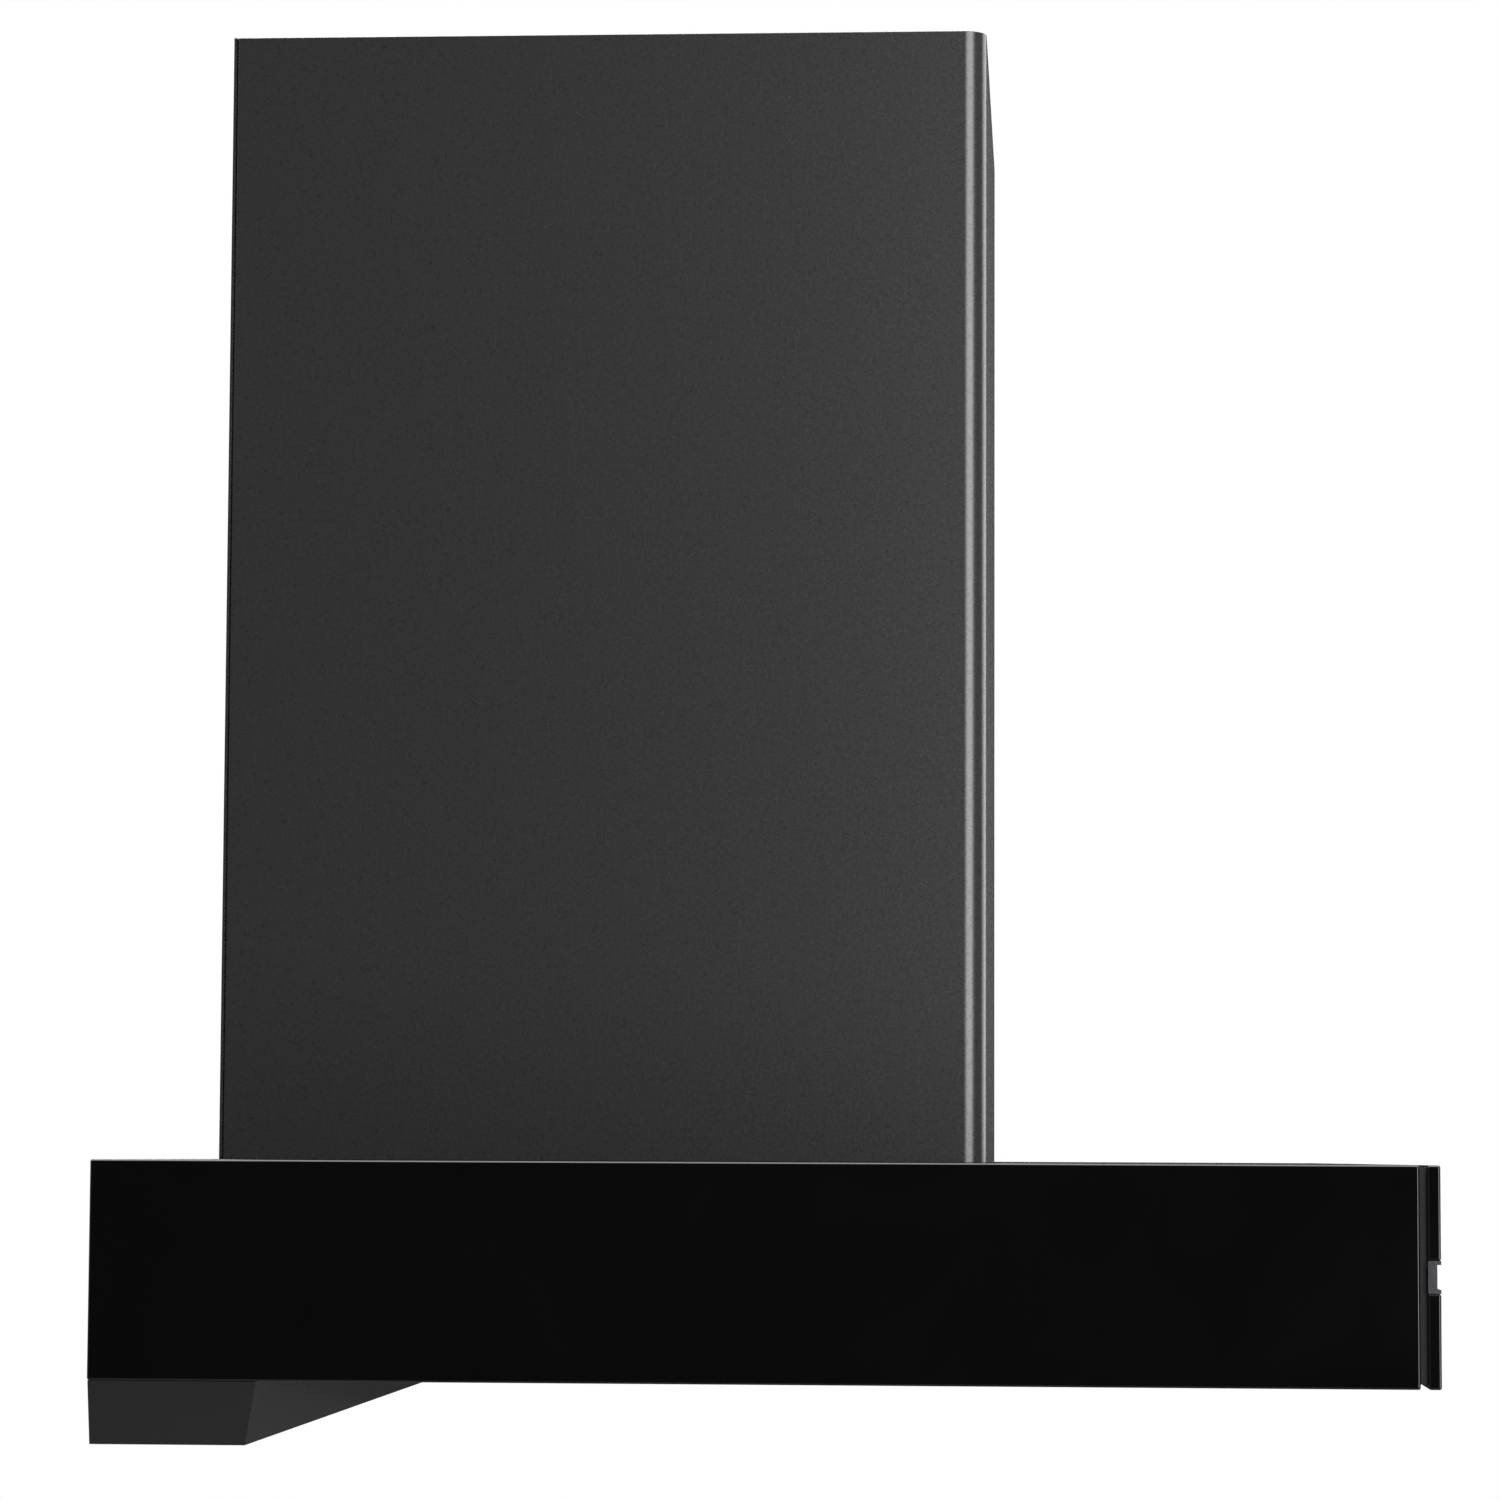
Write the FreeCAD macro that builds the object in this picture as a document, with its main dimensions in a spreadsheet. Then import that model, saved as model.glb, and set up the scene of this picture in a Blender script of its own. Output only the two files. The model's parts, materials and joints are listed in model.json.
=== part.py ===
import FreeCAD, Part

import math
import os
import re

import Sketcher

# Ceiling-hung kitchen extractor hood: a chimney over a flat canopy.
# Millimetres. +X is the hood's width, -Y its front with the push buttons, +Z up.
# The origin is the centre of the ceiling plate's four bolts, on the plate's top face.

# Driving dimensions: every cell holds a plain number under its alias.
SIZES = {
    # the outside
    "canopy_width": 900,
    "canopy_depth": 520,
    "canopy_height": 85,
    "chimney_width": 320,
    "chimney_depth": 343,
    "chimney_height": 510,
    "chimney_corner": 10,
    "cover_lip": 30,
    "back_screw_inset": 20,
    "sheet": 1.2,
    # glass front, its shadow gap and the aluminium channel across its middle
    "front_glass": 5,
    "side_glass": 3,
    "glass_arris": 0.6,
    "shadow_gap": 3,
    "gap_top_inset": 1,
    "gap_base_inset": 2,
    "gap_side_inset": 2,
    "channel_height": 12.5,
    "channel_groove": 1.5,
    "channel_lip": 1.5,
    # push buttons, left to right across the middle of the channel
    "button_pitch": 30,
    "button_radius": 4,
    "button_gap": 0.1,
    "button_travel": 1.2,
    "button_inset": 0.4,
    "button_collar_radius": 5.2,
    "button_collar": 1.2,
    "button_stem_radius": 2,
    "button_stem": 7,
    "button_slot_length": 140,
    "button_slot_height": 12,
    "switch_play": 0.2,
    "switch_plunger": 1.3,
    "switch_body": 4,
    "switch_width": 6,
    "board": 1.6,
    "board_length": 160,
    "board_height": 30,
    "bracket_wall": 2,
    # hanging frame
    "plate_gauge": 3,
    "frame_half_width": 155,
    "frame_front": 165,
    "frame_flange": 30,
    "post_leg": 25,
    "post_gauge": 2,
    "ceiling_bolt_pitch": 240,
    "ceiling_bolt_radius": 4.5,
    "duct_hole_radius": 81,
    "cable_hole_radius": 10,
    "air_half_width": 115,
    "air_half_depth": 130,
    "box_screw_y": 78,
    # fasteners
    "bolt_radius": 3,
    "bolt_head_radius": 5.77,
    "bolt_head": 4,
    "nut": 5,
    "screw_radius": 2,
    "screw_head_radius": 3.6,
    "screw_head": 2.2,
    "cover_screw": 9,
    "panel_screw": 10,
    "canopy_bolt_x": 138,
    "canopy_bolt_pitch": 100,
    # underside panel, its two filter bays and lights
    "panel": 1.5,
    "panel_play": 0.3,
    "shell_lip": 14,
    "bay_inner": 7,
    "bay_outer": 410,
    "bay_front": 222,
    "bay_back": 115,
    "bay_wall": 33,
    "bay_back_wall": 14,
    "light_x": 300,
    "light_y": 280,
    "light_hole_radius": 37,
    "light_lens_radius": 30,
    "light_bezel": 7,
    "lens_recess": 1,
    "lens": 3,
    "light_module": 16,
    # baffle filters, drawn flat about their pivot axis and then tilted
    "filter_axis_y": 100,
    "filter_axis_rise": 5.5,
    "filter_tilt": 3.2,
    "filter_play": 1.5,
    "filter_front": 320,
    "filter_back": 14,
    "filter_below": 4,
    "filter_above": 6,
    "filter_rail": 14,
    "filter_front_rail": 30,
    "filter_back_rail": 8,
    "filter_flange": 1.5,
    "drain_radius": 1.5,
    "drain_y": 10.5,
    "drain_pitch": 60,
    "pivot_radius": 2.5,
    "pivot_play": 0.05,
    "pivot_depth": 8,
    "baffle_count": 16,
    "baffle_half_width": 8,
    "baffle_gauge": 0.8,
    "baffle_wall": 6,
    # filter latch, in a pocket of the filter's front rail
    "latch_pocket_half_width": 22,
    "latch_pocket_neck": 16,
    "latch_pocket_front": 309,
    "latch_pocket_back": 293,
    "latch_half_width": 20,
    "latch_neck": 14,
    "latch_length": 6,
    "latch_tab": 3,
    "latch_tab_drop": 14,
    "tongue_half_width": 10,
    "tongue_tip": 321.5,
    "tongue_low": 1,
    "tongue_high": 1.5,
    "tongue_play": 0.3,
    "spring_radius": 2.2,
    "spring_wire": 0.3,
    "spring_turns": 5,
    # grease tray across the back
    "tray_height": 25,
    "tray_depth": 66,
    "tray_front_draft": 5,
    "tray_end_inset": 1.4,
    "tray_end_draft": 5.7,
    "tray_sheet": 1,
    "stud_radius": 3,
    "stud_length": 17,
    "stud_base_radius": 6,
    "stud_base": 2,
    "stud_play": 0.05,
    "socket_radius": 7,
    "stud_x": 200,
    "stud_y": 145,
    # blower box and scroll
    "box_half_width": 125,
    "box_half_depth": 150,
    "box_height": 210,
    "fan_y": 54.5,
    "fan_z": 400,
    "scroll_start": 88,
    "scroll_step": 7,
    "scroll_wall": 2.5,
    "scroll_half_width": 64.5,
    "scroll_flange": 86,
    "scroll_flange_gauge": 3,
    "inlet_radius": 62,
    "inlet_ring_radius": 72,
    "inlet_ring": 3,
    "inlet_throat": 60,
    "inlet_reach": 5,
    # impeller
    "wheel_radius": 80,
    "blade_inner": 66,
    "blade_gauge": 1,
    "blade_inset": 0.6,
    "blade_bow": 3,
    "blade_count": 36,
    "wheel_half_width": 58,
    "wheel_rim": 2,
    "wheel_disc": 3,
    "hub_radius": 12,
    "hub_half_width": 15,
    # motor
    "motor_radius": 44,
    "motor_wall": 2.5,
    "motor_near": 20,
    "motor_far": 100,
    "motor_cap": 8,
    "bearing_radius": 11,
    "bearing_bore": 4.03,
    "bearing": 7,
    "bearing_inset": 0.5,
    "shaft_radius": 4,
    "shaft_far": 104,
    "shaft_near": 18,
    "rotor_radius": 24,
    "air_gap": 0.6,
    "rotor_near": 40,
    "rotor_far": 80,
    "bracket_x": 76,
    "bracket_gauge": 3,
    "bracket_ring": 54,
    "bracket_arm": 14,
    "bracket_foot_at": 83,
    "bracket_foot_radius": 6,
    # duct collar and its two back-draught flaps
    "collar_radius": 75,
    "collar_wall": 2.5,
    "collar_height": 60,
    "collar_flange": 85,
    "collar_flange_gauge": 3,
    "collar_screw": 78,
    "flap_axis": 4,
    "flap_rise": 17,
    "flap_radius": 71.5,
    "flap_gauge": 1.5,
    "flap_barrel": 3,
    "flap_barrel_half": 66,
    "flap_pin_radius": 1.5,
    "flap_pin_half": 74.5,
    "stop_ring": 4,
    "stop_height": 3,
    "stop_gap": 0.25,
    # wiring and electronics
    "terminal_half_width": 60,
    "terminal_front": 95,
    "terminal_back": 145,
    "terminal_height": 40,
    "terminal_sheet": 1.5,
    "terminal_block": 50,
    "terminal_block_depth": 18,
    "terminal_well": 6,
    "gland_radius": 9,
    "gland_thread": 6,
    "gland_reach": 6,
    "gland_bore": 5,
    "gland_length": 22,
    "gland_rise": 20,
    "capacitor_radius": 15,
    "capacitor_half": 30,
    "capacitor_y": 120,
    "clip_gauge": 1.5,
    "clip_half": 8,
    "clip_foot": 10,
    "control_half_width": 90,
    "control_front": 300,
    "control_back": 235,
    "control_height": 42,
    "control_wall": 2,
    "power_board_drop": 30,
    "transformer_x": 45,
    "transformer_width": 36,
    "transformer_depth": 30,
    "transformer_height": 22,
    "relay_x": 10,
    "relay_pitch": 24,
    "relay_width": 18,
    "relay_depth": 14,
    "relay_height": 14,
}

# Places that many pieces share, as expressions of those cells.
BACK = "(chimney_depth/2)"
CHIMNEY_FRONT = "(-chimney_depth/2)"
CANOPY_TOP = "(-chimney_height)"
CANOPY_BASE = "(-chimney_height-canopy_height)"
GLASS_FACE = "(chimney_depth/2-canopy_depth)"
GLASS_BACK = f"({GLASS_FACE}+front_glass)"
SHELL_FRONT = f"({GLASS_BACK}+shadow_gap)"
SHELL_SIDE = "(canopy_width/2-side_glass)"
FRAME_BACK = "(chimney_depth/2-2*sheet)"
FRAME_FRONT = "(-frame_front)"
PLATE_TOP = f"({CANOPY_TOP}+plate_gauge)"
POST_FACE = "(frame_half_width-plate_gauge)"
BUTTON_Z = f"({CANOPY_BASE}+canopy_height/2)"
BOX_TOP = f"({PLATE_TOP}+box_height)"
FLAP_Z = f"({BOX_TOP}+flap_rise)"
FILTER_Z = f"({CANOPY_BASE}+filter_axis_rise)"
PANEL_TOP = f"({CANOPY_BASE}+panel)"
BUTTONS = {"power": -2, "speed_low": -1, "speed_medium": 0, "speed_high": 1, "light": 2}

doc = FreeCAD.newDocument("RangeHood")
sheet = doc.addObject("Spreadsheet::Sheet", "Dims")
nodes = []


def fill_sheet():
    for row, (alias, value) in enumerate(SIZES.items(), start=1):
        sheet.set(f"A{row}", alias)
        sheet.set(f"B{row}", str(value))
        sheet.setAlias(f"B{row}", alias)
    doc.recompute()


def cells(text):
    """The expression with each alias written as a reference to its cell."""
    return re.sub(r"[a-z_]+", lambda word: "Dims." + word[0] if word[0] in SIZES else word[0], text)


def bind(item, prop, text):
    item.setExpression(prop, cells(text))


def place(item, x, y, z):
    for axis, text in zip("xyz", (x, y, z)):
        bind(item, f"Placement.Base.{axis}", text)


def size(alias):
    return float(sheet.get(alias))


# Solids that the sub-parts are built from.

TURNS = {
    "X": FreeCAD.Rotation(FreeCAD.Vector(0, 1, 0), 90),
    "Y": FreeCAD.Rotation(FreeCAD.Vector(1, 0, 0), -90),
    "Z": FreeCAD.Rotation(),
}


def block(x, y, z):
    """A box, each side given as its low and high expressions."""
    item = doc.addObject("Part::Box", "Block")
    for prop, (low, high) in zip(("Length", "Width", "Height"), (x, y, z)):
        bind(item, prop, f"({high})-({low})")
    place(item, x[0], y[0], z[0])
    return item


def along(item, axis, x, y, z):
    """Lay a round primitive along an axis, whose place is a (low, high) pair."""
    at = [x, y, z]
    number = "XYZ".index(axis)
    low, high = at[number]
    at[number] = low
    item.Placement = FreeCAD.Placement(FreeCAD.Vector(), TURNS[axis])
    bind(item, "Height", f"({high})-({low})")
    place(item, *at)
    return item


def rod(axis, radius, x, y, z):
    item = doc.addObject("Part::Cylinder", "Rod")
    bind(item, "Radius", radius)
    return along(item, axis, x, y, z)


def hexagon(axis, radius, x, y, z):
    item = doc.addObject("Part::Prism", "Hexagon")
    item.Polygon = 6
    bind(item, "Circumradius", radius)
    return along(item, axis, x, y, z)


def cone(axis, low_radius, high_radius, x, y, z):
    item = doc.addObject("Part::Cone", "Cone")
    bind(item, "Radius1", low_radius)
    bind(item, "Radius2", high_radius)
    return along(item, axis, x, y, z)


def join(*pieces):
    item = doc.addObject("Part::MultiFuse", "Join")
    item.Shapes = list(pieces)
    item.Refine = True
    return item


def cut(base, *tools):
    item = doc.addObject("Part::Cut", "Cut")
    item.Base = base
    item.Tool = tools[0] if len(tools) == 1 else join(*tools)
    return item


def common(base, tool):
    item = doc.addObject("Part::Common", "Common")
    item.Base = base
    item.Tool = tool
    return item


def group(*pieces):
    item = doc.addObject("Part::Compound", "Group")
    item.Links = list(pieces)
    return item


def mirrored(source):
    """The same piece on the other side of the hood."""
    item = doc.addObject("Part::Mirroring", "Mirror")
    item.Source = source
    item.Normal = FreeCAD.Vector(1, 0, 0)
    return item


def both(low, high):
    return (f"-({high})", f"-({low})"), (low, high)


def around(half, centre="0"):
    return f"({centre})-({half})", f"({centre})+({half})"


def origin_plane(body, role):
    return next(item for item in body.Origin.OriginFeatures if item.Role == role)


def outline(body, role, points, offset="0"):
    """A closed sketch of straight lines whose corners are bound to the sheet."""
    sketch = body.newObject("Sketcher::SketchObject", "Outline")
    sketch.AttachmentSupport = [(origin_plane(body, role), "")]
    sketch.MapMode = "FlatFace"
    bind(sketch, "AttachmentOffset.Base.z", offset)
    count = len(points)
    turns = [math.tau * n / count for n in range(count)]
    rough = [FreeCAD.Vector(math.cos(turn), math.sin(turn)) for turn in turns]
    for number in range(count):
        sketch.addGeometry(Part.LineSegment(rough[number], rough[(number + 1) % count]), False)
    for number in range(count):
        sketch.addConstraint(Sketcher.Constraint("Coincident", number, 2, (number + 1) % count, 1))
    for number, corner in enumerate(points):
        for kind, text in zip(("DistanceX", "DistanceY"), corner):
            at = sketch.addConstraint(Sketcher.Constraint(kind, -1, 1, number, 1, 1.0))
            bind(sketch, f"Constraints[{at}]", text)
    return sketch


def feature(body, kind, **links):
    item = body.newObject(kind, kind.split("::")[1])
    for name, value in links.items():
        setattr(item, name, value)
    return item


def prism(role, points, low, high):
    """A body padded from an outline, between two places along the plane's normal."""
    body = doc.addObject("PartDesign::Body", "Body")
    pad = feature(body, "PartDesign::Pad", Profile=outline(body, role, points, low))
    bind(pad, "Length", f"({high})-({low})")
    doc.recompute()
    return body


def rectangle(x, y):
    return [(x[0], y[0]), (x[1], y[0]), (x[1], y[1]), (x[0], y[1])]


def dress(body, kind, prop, text, edges):
    """Fillet or chamfer the named edges of a body's last feature."""
    item = feature(body, kind, Base=(body.Tip, edges))
    bind(item, prop, text)
    doc.recompute()


def edge_names(body, wanted):
    return [f"Edge{n}" for n, edge in enumerate(body.Shape.Edges, start=1) if wanted(edge)]


def keep(label, item):
    """Name a finished sub-part."""
    item.Label = label
    nodes.append(item)
    return item


# Fasteners.

def span(seat, way, length):
    """The (low, high) pair that runs from a seat for a length, one way or the other."""
    return (seat, f"({seat})+({length})") if way > 0 else (f"({seat})-({length})", seat)


def screw_along(axis, way, at, head, shank):
    """A head on one side of its seat and a shank on the other. at holds the seat's place."""
    number = "XYZ".index(axis)
    head_at = list(at)
    shank_at = list(at)
    head_at[number] = span(at[number], -way, head[2])
    shank_at[number] = span(at[number], way, shank[1])
    return join(head[0](axis, head[1], *head_at), rod(axis, shank[0], *shank_at))


def bolt(axis, way, at, length):
    return screw_along(axis, way, at, (hexagon, "bolt_head_radius", "bolt_head"), ("bolt_radius", length))


def screw(axis, way, at, length):
    return screw_along(axis, way, at, (rod, "screw_head_radius", "screw_head"), ("screw_radius", length))


def countersink(axis, way, at, depth):
    """The cone that a flush screw's head fills. at lies on the outer face."""
    number = "XYZ".index(axis)
    at = list(at)
    at[number] = span(at[number], way, depth)
    radii = ("screw_head_radius", "screw_radius")
    return cone(axis, *(radii if way > 0 else radii[::-1]), *at)


def flush_screw(axis, way, at, depth, length):
    number = "XYZ".index(axis)
    shank_at = list(at)
    shank_at[number] = span(at[number], way, length)
    return join(countersink(axis, way, at, depth), rod(axis, "screw_radius", *shank_at))


# Hanging frame: ceiling plate, four angle posts and the plate under them.

def post_bolt_places(z):
    """The seat of each post's bolt, on the inside of its leg: (way, place)."""
    for way in (-1, 1):
        for y in (f"{FRAME_FRONT}+post_leg/2", f"{FRAME_BACK}-post_leg/2"):
            yield way, (f"{way}*({POST_FACE}-post_gauge)", y, z)


def frame_plate(low, flange_low, flange_high):
    depth = (FRAME_FRONT, FRAME_BACK)
    plate = block(around("frame_half_width"), depth, (low, f"{low}+plate_gauge"))
    flanges = [block(x, depth, (flange_low, flange_high)) for x in both(POST_FACE, "frame_half_width")]
    holes = [
        rod("X", "bolt_radius", around("frame_half_width"), place[1], place[2])
        for way, place in post_bolt_places(f"({flange_low}+{flange_high})/2") if way > 0
    ]
    return join(plate, *flanges), holes


CEILING_FLANGE = ("(-plate_gauge-frame_flange)", "(-plate_gauge)")
FOOT_FLANGE = (PLATE_TOP, f"({PLATE_TOP}+frame_flange)")


def build_frame():
    plate, holes = frame_plate("(-plate_gauge)", *CEILING_FLANGE)
    through = ("-plate_gauge-1", "1")
    holes.append(rod("Z", "duct_hole_radius", "0", "0", through))
    holes.append(rod("Z", "cable_hole_radius", "-ceiling_bolt_pitch/2", "0", through))
    for x in ("-1", "1"):
        for y in ("-1", "1"):
            at = (f"{x}*ceiling_bolt_pitch/2", f"{y}*ceiling_bolt_pitch/2")
            holes.append(rod("Z", "ceiling_bolt_radius", *at, through))
    keep("ceiling_plate", cut(plate, *holes))

    plate, holes = frame_plate(CANOPY_TOP, *FOOT_FLANGE)
    keep("support_plate", cut(plate, *holes, air_opening(), *canopy_bolt_holes(), *box_screw_holes()))

    posts = [frame_post(side, front) for front in (True, False) for side in (-1, 1)]
    keep("frame_posts", group(*posts))
    bolts = canopy_bolts()
    for flange in (CEILING_FLANGE, FOOT_FLANGE):
        for way, place in post_bolt_places(f"({flange[0]}+{flange[1]})/2"):
            bolts.append(bolt("X", way, place, "post_gauge+plate_gauge"))
    keep("frame_bolts", group(*bolts))


def frame_post(side, front):
    """An angle with its heel in a corner of the plates."""
    y, into = (FRAME_FRONT, 1) if front else (FRAME_BACK, -1)
    corners = [
        ("0", "0"), ("post_leg", "0"), ("post_leg", "post_gauge"),
        ("post_gauge", "post_gauge"), ("post_gauge", "post_leg"), ("0", "post_leg"),
    ]
    points = [(f"{side}*({POST_FACE}-{u})", f"{y}+{into}*{v}") for u, v in corners]
    post = prism("XY_Plane", points, PLATE_TOP, "(-plate_gauge)")
    hole_y = f"{y}+{into}*post_leg/2"
    across = around("post_leg", f"{side}*{POST_FACE}")
    holes = [
        rod("X", "bolt_radius", across, hole_y, f"({low}+{high})/2")
        for low, high in (CEILING_FLANGE, FOOT_FLANGE)
    ]
    if not front:
        holes += [rod("Y", "screw_radius", x, around("4", FRAME_BACK), z) for x, z in back_screw_places()]
    return cut(post, *holes)


def canopy_bolt_places():
    for side in (-1, 1):
        for step in (-1, 0, 1):
            yield f"{side}*canopy_bolt_x", f"{step}*canopy_bolt_pitch"


def canopy_bolt_holes():
    z = (f"{CANOPY_TOP}-5", f"{PLATE_TOP}+1")
    return [rod("Z", "bolt_radius", x, y, z) for x, y in canopy_bolt_places()]


def air_opening():
    z = (f"{CANOPY_TOP}-5", f"{PLATE_TOP}+5")
    return block(around("air_half_width"), around("air_half_depth"), z)


def canopy_bolts():
    """The bolts that hang the canopy under the support plate, with their nuts."""
    pieces = []
    under = f"({CANOPY_TOP}-sheet)"
    for x, y in canopy_bolt_places():
        pieces.append(bolt("Z", -1, (x, y, PLATE_TOP), "plate_gauge+sheet+nut+1"))
        nut = hexagon("Z", "bolt_head_radius", x, y, (f"{under}-nut", under))
        pieces.append(cut(nut, rod("Z", "bolt_radius", x, y, (f"{under}-nut-1", f"{under}+1"))))
    return pieces


# Chimney: a cover folded round the front and both sides, closed by a back panel.

BACK_SCREW_SHARES = ("0.05", "0.35", "0.65", "0.95")


def back_screw_places():
    """Down each rear lip of the cover, at these shares of its height."""
    for side in (-1, 1):
        for part in BACK_SCREW_SHARES:
            yield f"{side}*(chimney_width/2-back_screw_inset)", f"-{part}*chimney_height"


def build_chimney():
    inner_back = f"({BACK}-2*sheet)"
    cover_back = f"({BACK}-sheet)"
    outer = "chimney_width/2"
    inner = "(chimney_width/2-sheet)"
    lip = "(chimney_width/2-cover_lip)"
    front = CHIMNEY_FRONT
    half = [
        (lip, inner_back), (inner, inner_back), (inner, f"{front}+sheet"),
    ]
    outside = [(outer, front), (outer, cover_back), (lip, cover_back)]
    left = [(f"-{x}", y) for x, y in half]
    left_outside = [(f"-{x}", y) for x, y in outside]
    points = half + left[::-1] + left_outside[::-1] + outside
    cover = prism("XY_Plane", points, CANOPY_TOP, "0")

    reach = size("chimney_width") / 2 - 5
    front_y = 5 - size("chimney_depth") / 2

    def upright_at(x_from, x_to):
        def wanted(edge):
            ends = [vertex.Point for vertex in edge.Vertexes]
            upright = abs(ends[0].z - ends[-1].z) > 1
            return upright and all(x_from < abs(end.x) < x_to and end.y < front_y for end in ends)
        return wanted

    inside_x = reach + 5 - size("sheet") / 2
    fillet = "PartDesign::Fillet"
    dress(cover, fillet, "Radius", "chimney_corner", edge_names(cover, upright_at(inside_x, inside_x + 5)))
    dress(cover, fillet, "Radius", "chimney_corner-sheet", edge_names(cover, upright_at(reach, inside_x)))

    panel = block(around(outer), (cover_back, BACK), (CANOPY_TOP, "0"))
    screws, holes, seats = [], [], []
    for x, z in back_screw_places():
        screws.append(flush_screw("Y", -1, (x, BACK, z), "sheet", "cover_screw"))
        seats.append(countersink("Y", -1, (x, BACK, z), "sheet"))
        holes.append(rod("Y", "screw_radius", x, around("3", cover_back), z))
    keep("chimney_cover", cut(cover, *holes))
    keep("chimney_back_panel", cut(panel, *seats))
    return screws


# Canopy: a sheet steel shell, glass on three sides and the underside panel.

def rim_screw_places():
    """The underside panel's screws, under the shell's inward lip."""
    middle = "(sheet+panel_play+shell_lip/2)"
    for side in (-1, 1):
        for part in ("-0.9", "-0.45", "0", "0.45", "0.9"):
            wall = f"{SHELL_FRONT}+{middle}" if side < 0 else f"{BACK}-{middle}"
            yield f"{part}*{SHELL_SIDE}", wall


def build_canopy_shell():
    x, y = around(SHELL_SIDE), (SHELL_FRONT, BACK)
    outside = block(x, y, (CANOPY_BASE, CANOPY_TOP))
    lip_top = f"({PANEL_TOP}+sheet)"
    room = block(
        around(f"{SHELL_SIDE}-sheet"), (f"{SHELL_FRONT}+sheet", f"{BACK}-sheet"),
        (lip_top, f"{CANOPY_TOP}-sheet"),
    )
    panel_room = block(
        around(f"{SHELL_SIDE}-sheet"), (f"{SHELL_FRONT}+sheet", f"{BACK}-sheet"),
        (f"{CANOPY_BASE}-1", PANEL_TOP),
    )
    mouth = block(
        around(f"{SHELL_SIDE}-sheet-shell_lip"),
        (f"{SHELL_FRONT}+sheet+shell_lip", f"{BACK}-sheet-shell_lip"),
        (f"{CANOPY_BASE}-1", f"{lip_top}+1"),
    )
    slot = button_slot((f"{SHELL_FRONT}-1", f"{SHELL_FRONT}+sheet+1"))
    screw_z = (f"{PANEL_TOP}-1", f"{lip_top}+1")
    rim_holes = [rod("Z", "screw_radius", x, y, screw_z) for x, y in rim_screw_places()]
    holes = [*canopy_bolt_holes(), *box_screw_holes(), air_opening(), slot, *rim_holes]
    keep("canopy_shell", cut(outside, room, panel_room, mouth, *holes))


def button_slot(y):
    return block(around("button_slot_length/2"), y, around("button_slot_height/2", BUTTON_Z))


def glass_sheet(x, y, z):
    """A flat panel with its edges broken by a narrow arris."""
    body = prism("XY_Plane", rectangle(x, y), *z)
    dress(body, "PartDesign::Chamfer", "Size", "glass_arris", edge_names(body, lambda edge: True))
    return body


def build_glass():
    y = (SHELL_FRONT, BACK)
    left, right = both(SHELL_SIDE, "canopy_width/2")
    keep("side_glass_left", glass_sheet(left, y, (CANOPY_BASE, CANOPY_TOP)))
    keep("side_glass_right", glass_sheet(right, y, (CANOPY_BASE, CANOPY_TOP)))
    x, y = around("canopy_width/2"), (GLASS_FACE, GLASS_BACK)
    channel = around("channel_height/2", BUTTON_Z)
    keep("front_glass_upper", glass_sheet(x, y, (channel[1], CANOPY_TOP)))
    keep("front_glass_lower", glass_sheet(x, y, (CANOPY_BASE, channel[0])))

    spacer = block(
        around("canopy_width/2-gap_side_inset"), (GLASS_BACK, SHELL_FRONT),
        (f"{CANOPY_BASE}+gap_base_inset", f"{CANOPY_TOP}-gap_top_inset"),
    )
    keep("front_spacer", cut(spacer, button_slot((f"{GLASS_BACK}-1", f"{SHELL_FRONT}+1"))))


def build_channel():
    low, high = around("channel_height/2", BUTTON_Z)
    web = f"({GLASS_FACE}+channel_groove)"
    section = [
        (GLASS_FACE, low), (GLASS_BACK, low), (GLASS_BACK, high), (GLASS_FACE, high),
        (GLASS_FACE, f"{high}-channel_lip"), (web, f"{high}-channel_lip"),
        (web, f"{low}+channel_lip"), (GLASS_FACE, f"{low}+channel_lip"),
    ]
    bar = prism("YZ_Plane", section, "-canopy_width/2", "canopy_width/2")
    through = (f"{GLASS_FACE}-1", f"{GLASS_BACK}+1")
    holes = [
        rod("Y", "button_radius+button_gap", f"{step}*button_pitch", through, BUTTON_Z)
        for step in BUTTONS.values()
    ]
    keep("control_channel", cut(bar, *holes))


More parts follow.
